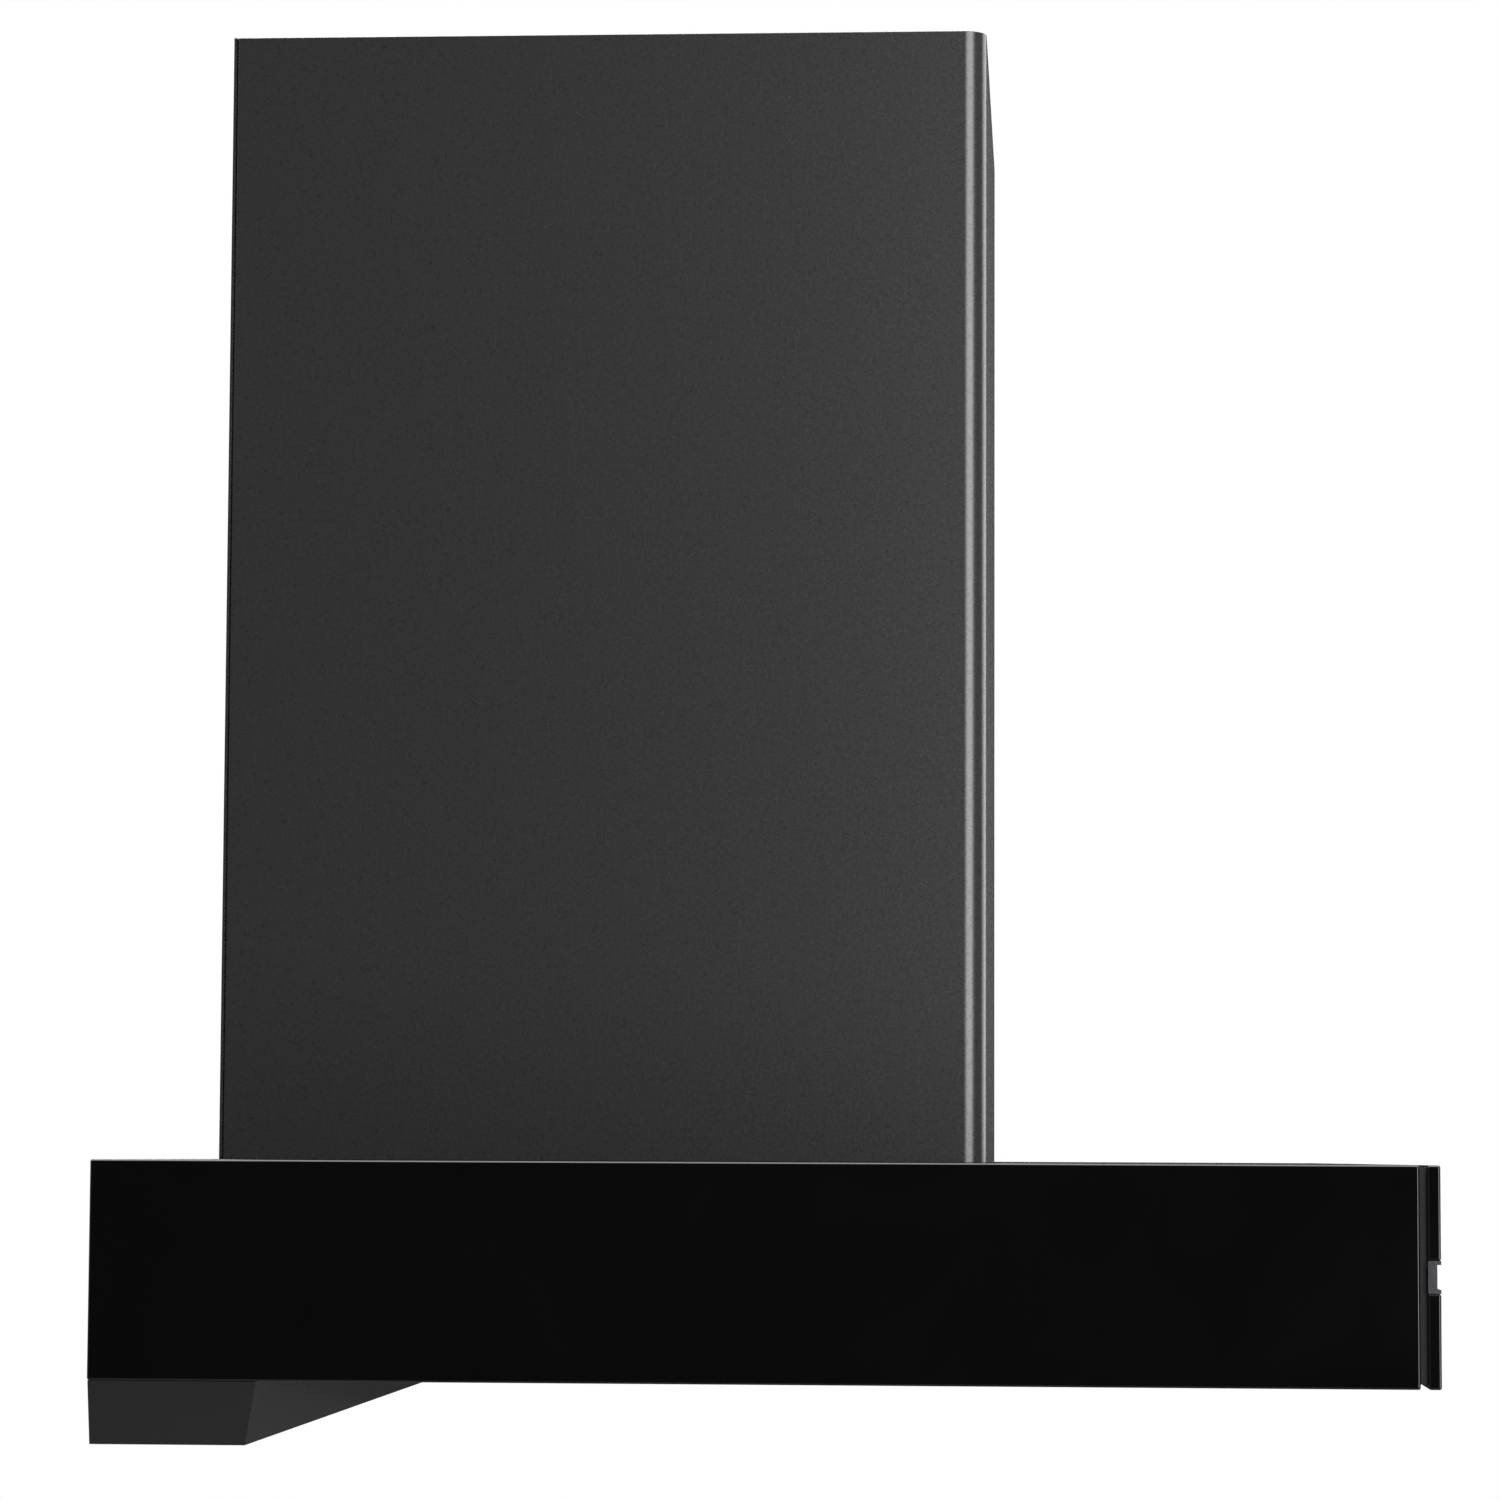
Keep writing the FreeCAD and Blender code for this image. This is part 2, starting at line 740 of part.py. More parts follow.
def build_buttons():
    """Round push buttons, each held behind the channel by its collar, and their switches."""
    collar = (f"{GLASS_BACK}", f"{GLASS_BACK}+button_collar")
    stem_end = f"({GLASS_BACK}+button_collar+button_stem)"
    plunger = f"({stem_end}+button_travel+switch_play)"
    switch_front = f"({plunger}+switch_plunger)"
    board_front = f"({switch_front}+switch_body)"
    switches = []
    for name, step in BUTTONS.items():
        x = f"{step}*button_pitch"
        cap = rod("Y", "button_radius", x, (f"{GLASS_FACE}+button_inset", collar[1]), BUTTON_Z)
        ring = rod("Y", "button_collar_radius", x, collar, BUTTON_Z)
        stem = rod("Y", "button_stem_radius", x, (collar[1], stem_end), BUTTON_Z)
        keep(f"button_{name}", join(cap, ring, stem))
        half = "switch_width/2"
        body = block(around(half, x), (switch_front, board_front), around(half, BUTTON_Z))
        switches.append(join(body, rod("Y", "switch_width/4", x, (plunger, switch_front), BUTTON_Z)))
    board_z = around("board_height/2", BUTTON_Z)
    board_back = f"({board_front}+board)"
    board = block(around("board_length/2"), (board_front, board_back), board_z)
    keep("button_board", join(board, *switches))

    wall = "bracket_wall"
    frame = block(
        around(f"board_length/2+{wall}"), (f"{SHELL_FRONT}+sheet", f"{board_back}+{wall}"),
        around(f"board_height/2+{wall}", BUTTON_Z),
    )
    room = block(
        around("board_length/2"), (f"{SHELL_FRONT}+sheet-1", board_back), around("board_height/2", BUTTON_Z)
    )
    window = block(
        around(f"board_length/2-3*{wall}"), (f"{board_back}-1", f"{board_back}+{wall}+1"),
        around(f"board_height/2-2*{wall}", BUTTON_Z),
    )
    keep("board_bracket", cut(frame, room, window))


def bay_sides():
    """The two filter bays' inner x and y ranges."""
    y = ("(-bay_front)", "bay_back")
    return [(x, y) for x in both("bay_inner", "bay_outer")]


def light_places():
    return [(f"{side}*light_x", "(-light_y)") for side in (-1, 1)]


def filter_tongue_slot(centre):
    """The keeper slot that faces each latch's tongue in the bay's front wall."""
    tip_rise = "(filter_front*sin(filter_tilt))"
    z = (f"{FILTER_Z}+{tip_rise}-2*tongue_low", f"{FILTER_Z}+{tip_rise}+2*tongue_high")
    y = ("(-bay_front-sheet-1)", "(-bay_front+1)")
    return block(around("tongue_half_width+tongue_high", centre), y, z)


def build_underside():
    play = "(sheet+panel_play)"
    x = around(f"{SHELL_SIDE}-{play}")
    y = (f"{SHELL_FRONT}+{play}", f"{BACK}-{play}")
    plate = block(x, y, (CANOPY_BASE, PANEL_TOP))
    walls, rooms = [], []
    for bay_x, bay_y in bay_sides():
        wide = (f"{bay_x[0]}-sheet", f"{bay_x[1]}+sheet")
        deep = (f"{bay_y[0]}-sheet", f"{bay_y[1]}+sheet")
        walls.append(block(wide, deep, (CANOPY_BASE, f"{PANEL_TOP}+bay_wall")))
        rooms.append(block(bay_x, bay_y, (f"{CANOPY_BASE}-1", f"{PANEL_TOP}+bay_wall+1")))
        low_back = (f"{PANEL_TOP}+bay_back_wall", f"{PANEL_TOP}+bay_wall+1")
        rooms.append(block((f"{wide[0]}-1", f"{wide[1]}+1"), (f"{bay_y[1]}-10", f"{deep[1]}+1"), low_back))
    slots = [filter_tongue_slot(f"{side}*(bay_inner+bay_outer)/2") for side in (-1, 1)]
    through = (f"{CANOPY_BASE}-1", f"{PANEL_TOP}+1")
    lights = [rod("Z", "light_hole_radius", x, y, through) for x, y in light_places()]
    pivots = [
        rod("X", "pivot_radius", (f"{x}-sheet-1", f"{x}+sheet+1"), "filter_axis_y", FILTER_Z)
        for side in both("bay_inner", "bay_outer") for x in side
    ]
    seats, screws = [], []
    for x, y in rim_screw_places():
        seats.append(countersink("Z", 1, (x, y, CANOPY_BASE), "panel"))
        screws.append(flush_screw("Z", 1, (x, y, CANOPY_BASE), "panel", "panel_screw"))
    keep("underside_panel", cut(join(plate, *walls), *rooms, *slots, *lights, *pivots, *seats))
    return screws


def build_lights():
    bezels, lenses, modules = [], [], []
    bezel_top = f"({CANOPY_BASE}+light_bezel)"
    for x, y in light_places():
        body = rod("Z", "light_hole_radius", x, y, (CANOPY_BASE, bezel_top))
        bore = rod("Z", "light_lens_radius", x, y, (f"{CANOPY_BASE}-1", f"{bezel_top}+1"))
        bezels.append(cut(body, bore))
        lens = (f"{CANOPY_BASE}+lens_recess", f"{CANOPY_BASE}+lens_recess+lens")
        lenses.append(rod("Z", "light_lens_radius", x, y, lens))
        modules.append(rod("Z", "light_lens_radius", x, y, (bezel_top, f"{bezel_top}+light_module")))
    keep("light_bezels", group(*bezels))
    keep("light_lenses", group(*lenses))
    keep("light_modules", group(*modules))


# Filters: each is drawn flat with its pivot on the X axis, then tilted so that it drains backwards.

def tilted(item):
    tilt = FreeCAD.Rotation(FreeCAD.Vector(1, 0, 0), -size("filter_tilt"))
    item.Placement = FreeCAD.Placement(FreeCAD.Vector(), tilt)
    place(item, "0", "filter_axis_y", FILTER_Z)
    return item


FILTER_X = ("(bay_inner+filter_play)", "(bay_outer-filter_play)")
FILTER_MIDDLE = "((bay_inner+bay_outer)/2)"
FILTER_Z_RANGE = ("(-filter_below)", "filter_above")
APERTURE_X = (f"({FILTER_X[0]}+filter_rail)", f"({FILTER_X[1]}-filter_rail)")
BAFFLE_Y = ("(filter_front_rail-filter_front)", "(-filter_back_rail)")


def build_filter_frame():
    below, above = FILTER_Z_RANGE
    past = (f"{below}-1", f"{above}+1")
    body = block(FILTER_X, ("(-filter_front)", "filter_back"), FILTER_Z_RANGE)
    aperture = block(APERTURE_X, BAFFLE_Y, past)
    gutter = block(
        APERTURE_X, ("-filter_back_rail-1", "filter_back-filter_flange"),
        (f"{below}+filter_flange", f"{above}-filter_flange"),
    )
    drains = [
        rod("Z", "drain_radius", f"{FILTER_MIDDLE}+{step}*drain_pitch", "drain_y", (f"{below}-1", "0"))
        for step in range(-2, 3)
    ]
    pivots = [
        rod("X", "pivot_radius+pivot_play", span(end, way, "pivot_depth"), "0", "0")
        for end, way in zip(FILTER_X, (1, -1))
    ]
    pocket_y = ("(-latch_pocket_front)", "(-latch_pocket_back)")
    pocket = block(
        around("latch_pocket_half_width", FILTER_MIDDLE), pocket_y, ("-2", f"{above}-filter_flange")
    )
    mouth = block(around("latch_pocket_neck", FILTER_MIDDLE), pocket_y, (f"{below}-1", "-1"))
    tunnel = block(
        around("tongue_half_width+tongue_play", FILTER_MIDDLE), ("-filter_front-1", "1-latch_pocket_front"),
        ("-tongue_low-tongue_play", "tongue_high+tongue_play"),
    )
    return tilted(cut(body, aperture, gutter, *drains, *pivots, pocket, mouth, tunnel))


def baffle(centre, upper):
    """A long U channel. The upper ones face down into the lower ones."""
    half, gauge = "baffle_half_width", "baffle_gauge"
    if upper:
        web, free = "filter_above", "(filter_above-baffle_wall)"
        inner = f"(filter_above-{gauge})"
    else:
        web, free = "(-filter_below)", "(baffle_wall-filter_below)"
        inner = f"({gauge}-filter_below)"
    points = [
        (f"{centre}-{half}", web), (f"{centre}+{half}", web), (f"{centre}+{half}", free),
        (f"{centre}+{half}-{gauge}", free), (f"{centre}+{half}-{gauge}", inner),
        (f"{centre}-{half}+{gauge}", inner), (f"{centre}-{half}+{gauge}", free), (f"{centre}-{half}", free),
    ]
    # the XZ plane's normal is -Y, so the places along it change sign
    return prism("XZ_Plane", points, f"-{BAFFLE_Y[1]}", f"-{BAFFLE_Y[0]}")


def build_filter_baffles():
    lower_count = int(size("baffle_count"))
    pitch = f"(({APERTURE_X[1]}-{APERTURE_X[0]}-2*baffle_half_width)/(baffle_count-1))"
    channels = []
    for number in range(2 * lower_count - 1):
        step = (number - lower_count + 1) / 2
        channels.append(baffle(f"({FILTER_MIDDLE}+{step}*{pitch})", upper=number % 2 == 1))
    return tilted(group(*channels))


def build_latch():
    """A sprung slide: carriage and tongue inside the rail, and a finger tab below it."""
    above = "filter_above-filter_flange-0.3"
    front = "(-latch_pocket_front)"
    carriage = block(
        around("latch_half_width", FILTER_MIDDLE), (front, f"{front}+latch_length"), ("-2", above)
    )
    tongue = block(
        around("tongue_half_width", FILTER_MIDDLE),
        ("-tongue_tip", f"{front}+1"),
        ("-tongue_low", "tongue_high"),
    )
    tab_y = (f"{front}+latch_length-latch_tab", f"{front}+latch_length")
    tab = block(around("latch_neck", FILTER_MIDDLE), tab_y, ("-latch_tab_drop", "-1"))
    return tilted(join(carriage, tongue, tab))


def build_latch_spring():
    """A coil between the carriage and the back of its pocket."""
    helix = doc.addObject("Part::Helix", "Helix")
    room = "(latch_pocket_front-latch_pocket_back-latch_length-2*spring_wire)"
    bind(helix, "Radius", "spring_radius")
    bind(helix, "Height", room)
    bind(helix, "Pitch", f"{room}/spring_turns")
    ring = doc.addObject("Part::Circle", "WireSection")
    bind(ring, "Radius", "spring_wire")
    ring.Placement = FreeCAD.Placement(FreeCAD.Vector(), FreeCAD.Rotation(FreeCAD.Vector(1, 0, 0), 90))
    bind(ring, "Placement.Base.x", "spring_radius")
    coil = doc.addObject("Part::Sweep", "Coil")
    coil.Sections = [ring]
    coil.Spine = helix
    coil.Solid = True
    coil.Frenet = True
    coil.Placement = FreeCAD.Placement(FreeCAD.Vector(), TURNS["Y"])
    place(coil, FILTER_MIDDLE, "latch_length+spring_wire-latch_pocket_front", "1")
    return tilted(group(coil))


def build_filters():
    makers = {
        "filter_frame": build_filter_frame, "filter_baffles": build_filter_baffles,
        "filter_latch": build_latch, "latch_spring": build_latch_spring,
    }
    for name, maker in makers.items():
        right = keep(f"{name}_right", maker())
        keep(f"{name}_left", mirrored(right))
    pins = []
    for side in both("bay_inner", "bay_outer"):
        for end, way in zip(side, (1, -1)):
            reach = span(f"({end}-{way}*sheet)", way, "sheet+filter_play+pivot_depth-2")
            pins.append(rod("X", "pivot_radius", reach, "filter_axis_y", FILTER_Z))
    return pins


# Grease tray: a drawn steel trough pulled down off four studs.

def trough(inset):
    """The tray's tapered block, drawn in by a wall thickness. Its local Y becomes the row's Z."""
    item = doc.addObject("Part::Wedge", "Trough")
    top = f"(canopy_width/2-tray_end_inset-{inset})"
    foot = f"(canopy_width/2-tray_end_inset-tray_end_draft-{inset})"
    item.Placement = FreeCAD.Placement(FreeCAD.Vector(), FreeCAD.Rotation(FreeCAD.Vector(1, 0, 0), 90))
    faces = {
        "Xmin": f"-{foot}", "Xmax": foot, "X2min": f"-{top}", "X2max": top,
        "Zmin": inset, "Zmax": f"tray_depth-tray_front_draft-{inset}",
        "Z2min": inset, "Z2max": f"tray_depth-{inset}",
        "Ymin": inset, "Ymax": "tray_height",
    }
    for prop, text in faces.items():
        bind(item, prop, text)
    place(item, "0", BACK, f"{CANOPY_BASE}-tray_height")
    return item


def stud_places():
    return [(f"{step}*stud_x", "stud_y") for step in (-2, -1, 1, 2)]


def build_tray():
    keep("grease_tray", cut(trough("0"), trough("tray_sheet")))
    studs, sockets = [], []
    base = f"({CANOPY_BASE}-stud_base)"
    floor = f"({CANOPY_BASE}-tray_height+tray_sheet)"
    for x, y in stud_places():
        foot = rod("Z", "stud_base_radius", x, y, (base, CANOPY_BASE))
        pin = rod("Z", "stud_radius", x, y, (f"{CANOPY_BASE}-stud_length", CANOPY_BASE))
        studs.append(join(foot, pin))
        boss = rod("Z", "socket_radius", x, y, (floor, f"{base}-stud_play"))
        bore = rod("Z", "stud_radius+stud_play", x, y, (f"{CANOPY_BASE}-stud_length-1", base))
        sockets.append(cut(boss, bore))
    keep("tray_studs", group(*studs))
    keep("tray_sockets", group(*sockets))


# Blower: a steel box round a two-part scroll, with the impeller across the hood.

def box_screw_places():
    x = "(box_half_width+air_half_width-sheet)/2"
    return [(f"{side}*{x}", f"{step}*box_screw_y") for side in (-1, 1) for step in (-1, 0, 1)]


def box_screw_holes():
    z = (f"{CANOPY_TOP}-5", f"{PLATE_TOP}+sheet+1")
    return [rod("Z", "screw_radius", x, y, z) for x, y in box_screw_places()]


def collar_screw_places():
    return [(f"{x}*collar_screw", f"{y}*collar_screw") for x in (-1, 1) for y in (-1, 1)]


def collar_screw_holes():
    return [rod("Z", "screw_radius", x, y, around("8", BOX_TOP)) for x, y in collar_screw_places()]


def build_blower_box():
    outside = block(around("box_half_width"), around("box_half_depth"), (PLATE_TOP, BOX_TOP))
    room = block(
        around("box_half_width-sheet"),
        around("box_half_depth-sheet"),
        (f"{PLATE_TOP}+sheet", f"{BOX_TOP}-sheet"),
    )
    outlet = rod("Z", "collar_radius-collar_wall", "0", "0", (f"{BOX_TOP}-sheet-1", f"{BOX_TOP}+1"))
    keep("blower_box", cut(outside, room, air_opening(), outlet, *box_screw_holes(), *collar_screw_holes()))


def sector(radius, y, z, x, quarter):
    """A quarter cylinder along X. Quarter 0 lies below and behind its axis; each step turns 90 degrees."""
    item = doc.addObject("Part::Cylinder", "Sector")
    item.Angle = 90
    turn = FreeCAD.Rotation(FreeCAD.Vector(1, 0, 0), 90 * quarter).multiply(TURNS["X"])
    item.Placement = FreeCAD.Placement(FreeCAD.Vector(), turn)
    bind(item, "Radius", radius)
    bind(item, "Height", f"({x[1]})-({x[0]})")
    place(item, x[0], y, z)
    return item


def scroll_volume(wall, x, top):
    """The spiral as three quarter turns of growing radius, then straight up to the outlet."""
    start, step = f"(scroll_start+{wall})", "scroll_step"
    y, z = "fan_y", "(-fan_z)"
    low_y = f"({y}-{step})"
    left = f"({low_y}-{start}-2*{step})"
    return join(
        sector(start, y, z, x, 1),
        sector(f"{start}+{step}", low_y, z, x, 0),
        sector(f"{start}+2*{step}", low_y, f"{z}+{step}", x, -1),
        block(x, (left, f"{y}+{wall}"), (f"{z}+{step}", top)),
        block(x, (low_y, f"{y}+{wall}"), (z, f"{z}+{step}+1")),
    )


def build_scroll():
    under = f"({BOX_TOP}-sheet)"
    outside = scroll_volume("scroll_wall", ("0", "scroll_half_width"), under)
    flange = block(
        ("0", "scroll_flange"), around("scroll_flange"), (f"{under}-scroll_flange_gauge", under)
    )
    inside = scroll_volume("0", ("-1", "scroll_half_width-scroll_wall"), f"{under}+1")
    inlet = rod("X", "inlet_radius", ("0", "scroll_half_width+1"), "fan_y", "-fan_z")
    feet = [
        rod("X", "screw_radius", ("0", "scroll_half_width+1"), y, z) for y, z in bracket_foot_places()
    ]
    half = cut(join(outside, flange), inside, inlet, *collar_screw_holes(), *feet)
    keep("scroll_half_right", half)
    keep("scroll_half_left", mirrored(half))

    face = "scroll_half_width"
    rim = rod("X", "inlet_ring_radius", (face, f"{face}+inlet_ring"), "fan_y", "-fan_z")
    throat = rod("X", "inlet_radius", (f"{face}-inlet_reach", face), "fan_y", "-fan_z")
    bore = rod("X", "inlet_throat", (f"{face}-inlet_reach-1", f"{face}+inlet_ring+1"), "fan_y", "-fan_z")
    ring = cut(join(rim, throat), bore)
    keep("inlet_rings", group(ring, mirrored(ring)))


def build_impeller():
    """A double-sided squirrel-cage wheel about the X axis: hub disc, two rims and a ring of blades."""
    body = doc.addObject("PartDesign::Body", "Body")
    half, inner, outer = "wheel_half_width", "blade_inner", "wheel_radius"
    section = [
        ("-hub_half_width", "shaft_radius"), ("hub_half_width", "shaft_radius"),
        ("hub_half_width", "hub_radius"), ("wheel_disc/2", "hub_radius"), ("wheel_disc/2", outer),
        ("-wheel_disc/2", outer), ("-wheel_disc/2", "hub_radius"), ("-hub_half_width", "hub_radius"),
    ]
    disc = outline(body, "XZ_Plane", section)
    feature(body, "PartDesign::Revolution", Profile=disc, ReferenceAxis=(disc, ["H_Axis"]))
    root, tip, middle = f"{inner}+blade_inset", f"{outer}-blade_inset", f"({inner}+{outer})/2"
    blade_points = [
        ("-blade_gauge/2", root), ("blade_gauge/2", root), ("blade_bow+blade_gauge/2", middle),
        ("blade_gauge/2", tip), ("-blade_gauge/2", tip), ("blade_bow-blade_gauge/2", middle),
    ]
    blade = outline(body, "YZ_Plane", blade_points, f"-{half}")
    pad = feature(body, "PartDesign::Pad", Profile=blade)
    bind(pad, "Length", f"2*{half}")
    doc.recompute()
    axis = next(item for item in body.Origin.OriginFeatures if item.Role == "X_Axis")
    ring = feature(body, "PartDesign::PolarPattern", Originals=[pad], Axis=(axis, [""]), Angle=360)
    bind(ring, "Occurrences", "blade_count")
    body.Tip = ring
    place(body, "0", "fan_y", "-fan_z")
    rims = [
        cut(rod("X", outer, x, "fan_y", "-fan_z"), rod("X", inner, x, "fan_y", "-fan_z"))
        for x in both(f"{half}-wheel_rim", half)
    ]
    keep("impeller", join(body, *rims))


def turned(radius, x):
    """A cylinder on the fan's axis, between two x places."""
    return rod("X", radius, x, "fan_y", "-fan_z")


def build_motor():
    body = turned("motor_radius", ("-motor_far", "-motor_near"))
    room = turned("motor_radius-motor_wall", ("motor_cap-motor_far", "-motor_cap-motor_near"))
    bore = turned("bearing_radius", ("-motor_far-1", "1-motor_near"))
    keep("motor_housing", cut(body, room, bore))

    core = ("-rotor_far", "-rotor_near")
    past = ("-rotor_far-1", "1-rotor_near")
    stator = turned("motor_radius-motor_wall", core)
    keep("motor_stator", cut(stator, turned("rotor_radius+air_gap", past)))
    keep("motor_rotor", cut(turned("rotor_radius", core), turned("shaft_radius", past)))
    keep("motor_shaft", turned("shaft_radius", ("-shaft_far", "shaft_near")))

    bearings = []
    for low in ("(bearing_inset-motor_far)", "(-motor_near-bearing_inset-bearing)"):
        outer = turned("bearing_radius", (low, f"{low}+bearing"))
        bearings.append(cut(outer, turned("bearing_bore", (f"{low}-1", f"{low}+bearing+1"))))
    keep("motor_bearings", group(*bearings))


BRACKET_TURNS = (90, 210, 330)


def bracket_foot_places():
    """Three feet round the fan's axis, as (y, z)."""
    return [
        (f"(fan_y+bracket_foot_at*cos({turn}))", f"(bracket_foot_at*sin({turn})-fan_z)")
        for turn in BRACKET_TURNS
    ]


def build_bracket():
    """A three-armed spider that holds the motor in the left-hand inlet."""
    x = ("-bracket_x", "bracket_gauge-bracket_x")
    arms = []
    for turn in BRACKET_TURNS:
        arm = block(x, around("bracket_arm/2"), ("motor_radius", "bracket_foot_at+bracket_arm/2"))
        carrier = group(arm)
        swing = FreeCAD.Rotation(FreeCAD.Vector(1, 0, 0), turn - 90)
        carrier.Placement = FreeCAD.Placement(FreeCAD.Vector(), swing)
        place(carrier, "0", "fan_y", "-fan_z")
        arms.append(carrier)
    feet, screws, holes = [], [], []
    for y, z in bracket_foot_places():
        feet.append(rod("X", "bracket_foot_radius", (x[1], "-scroll_half_width"), y, z))
        holes.append(rod("X", "screw_radius", (f"{x[0]}-1", "1-scroll_half_width"), y, z))
        screws.append(screw("X", 1, (x[0], y, z), "bracket_x-scroll_half_width+scroll_wall"))
    spider = join(turned("bracket_ring", x), *arms, *feet)
    hole = turned("motor_radius", (f"{x[0]}-1", f"{x[1]}+1"))
    keep("motor_bracket", cut(spider, hole, *holes))
    return screws


# Duct collar and the two flaps that stop cold air falling back.

def build_collar():
    flange_top = f"({BOX_TOP}+collar_flange_gauge)"
    flange = block(around("collar_flange"), around("collar_flange"), (BOX_TOP, flange_top))
    tube = rod("Z", "collar_radius", "0", "0", (BOX_TOP, f"{BOX_TOP}+collar_height"))
    bore = rod("Z", "collar_radius-collar_wall", "0", "0", (f"{BOX_TOP}-1", f"{BOX_TOP}+collar_height+1"))
    stop_top = f"({FLAP_Z}-flap_gauge/2-stop_gap)"
    stop_z = (f"{stop_top}-stop_height", stop_top)
    stop = cut(
        rod("Z", "collar_radius-collar_wall/2", "0", "0", stop_z),
        rod("Z", "collar_radius-collar_wall-stop_ring", "0", "0", (f"{stop_z[0]}-1", f"{stop_z[1]}+1")),
    )
    holes = [
        rod("X", "flap_pin_radius", around("collar_radius+1"), f"{side}*flap_axis", FLAP_Z)
        for side in (-1, 1)
    ]
    body = join(cut(join(flange, tube), bore), stop)
    keep("duct_collar", cut(body, *holes, *collar_screw_holes()))
    grip = "collar_flange_gauge+sheet+scroll_flange_gauge"
    screws = [screw("Z", -1, (x, y, flange_top), grip) for x, y in collar_screw_places()]
    for x, y in box_screw_places():
        screws.append(screw("Z", -1, (x, y, f"{PLATE_TOP}+sheet"), "2*sheet+plate_gauge+1"))
    return screws


def build_flaps():
    pins = []
    for name, side in (("front", -1), ("back", 1)):
        keep(f"damper_flap_{name}", damper_flap(side))
        pins.append(rod("X", "flap_pin_radius", around("flap_pin_half"), f"{side}*flap_axis", FLAP_Z))
    return pins


def damper_flap(side):
    """Half a disc with a barrel along its straight edge, turning on its pin."""
    y = f"{side}*flap_axis"
    barrel = rod("X", "flap_barrel", around("flap_barrel_half"), y, FLAP_Z)
    disc = rod("Z", "flap_radius", "0", "0", around("flap_gauge/2", FLAP_Z))
    half = span(y, side, "flap_radius")
    plate = common(disc, block(around("flap_radius"), half, around("flap_gauge", FLAP_Z)))
    clear = rod("X", "flap_pin_radius+pivot_play", around("collar_radius"), y, FLAP_Z)
    return cut(join(barrel, plate), clear)


# Wiring: terminal box with its gland, motor capacitor, and the electronics in the canopy.

def build_terminal_box():
    x = around("terminal_half_width")
    y = ("terminal_front", "terminal_back")
    top = f"({BOX_TOP}+terminal_height)"
    sheet_in = "terminal_sheet"
    body = block(x, y, (BOX_TOP, f"{top}-{sheet_in}"))
    room = block(
        around(f"terminal_half_width-{sheet_in}"), (f"{y[0]}+{sheet_in}", f"{y[1]}-{sheet_in}"),
        (f"{BOX_TOP}+{sheet_in}", f"{top}+1"),
    )
    middle = "(terminal_front+terminal_back)/2"
    gland_z = f"({BOX_TOP}+gland_rise)"
    entry = rod("X", "gland_thread", around("3*terminal_sheet", "-terminal_half_width"), middle, gland_z)
    keep("terminal_box", cut(body, room, entry))
    keep("terminal_cover", block(x, y, (f"{top}-{sheet_in}", top)))

    block_z = (f"{BOX_TOP}+{sheet_in}", f"{BOX_TOP}+{sheet_in}+terminal_block_depth")
    strip = block(around("terminal_block/2"), around("terminal_block_depth/2", middle), block_z)
    well_z = (f"{block_z[1]}-terminal_well", f"{block_z[1]}+1")
    wells = [
        rod("Z", "screw_head_radius", f"{step}*terminal_block/4", middle, well_z)
        for step in (-1, 0, 1)
    ]
    keep("terminal_block", cut(strip, *wells))

    outer = "(-terminal_half_width-gland_length)"
    nut = hexagon("X", "gland_radius", (outer, "-terminal_half_width"), middle, gland_z)
    inner = "(gland_reach-terminal_half_width)"
    thread = rod("X", "gland_thread", ("-terminal_half_width-1", inner), middle, gland_z)
    bore = rod("X", "gland_bore", (f"{outer}-1", f"{inner}+1"), middle, gland_z)
    keep("cable_gland", cut(join(nut, thread), bore))


def build_capacitor():
    y, z = "(-capacitor_y)", f"({BOX_TOP}+capacitor_radius+clip_gauge)"
    keep("run_capacitor", rod("X", "capacitor_radius", around("capacitor_half"), y, z))
    x = around("clip_half")
    ring = rod("X", "capacitor_radius+clip_gauge", x, y, z)
    foot = block(x, around("capacitor_radius+clip_foot", y), (BOX_TOP, f"{BOX_TOP}+clip_gauge"))
    bore = rod("X", "capacitor_radius", around("clip_half+1"), y, z)
    keep("capacitor_clip", cut(join(ring, foot), bore))


def build_control_box():
    x = around("control_half_width")
    y = ("(-control_front)", "(-control_back)")
    ceiling = f"({CANOPY_TOP}-sheet)"
    z = (f"{ceiling}-control_height", ceiling)
    wall = "control_wall"
    tub = block(x, y, z)
    room = block(
        around(f"control_half_width-{wall}"),
        (f"{y[0]}+{wall}", f"{y[1]}-{wall}"),
        (f"{z[0]}+{wall}", f"{ceiling}+1"),
    )
    keep("control_box", cut(tub, room))
    board_z = f"({ceiling}-power_board_drop)"
    board = block(
        around(f"control_half_width-2*{wall}"), (f"{y[0]}+2*{wall}", f"{y[1]}-2*{wall}"),
        (board_z, f"{board_z}+board"),
    )
    top, middle = f"({board_z}+board)", "(-(control_front+control_back)/2)"
    transformer = block(
        around("transformer_width/2", "-transformer_x"),
        around("transformer_depth/2", middle),
        (top, f"{top}+transformer_height"),
    )
    relays = [
        block(
            around("relay_width/2", f"relay_x+{step}*relay_pitch"),
            around("relay_depth/2", middle),
            (top, f"{top}+relay_height"),
        )
        for step in range(3)
    ]
    keep("power_board", join(board, transformer, *relays))


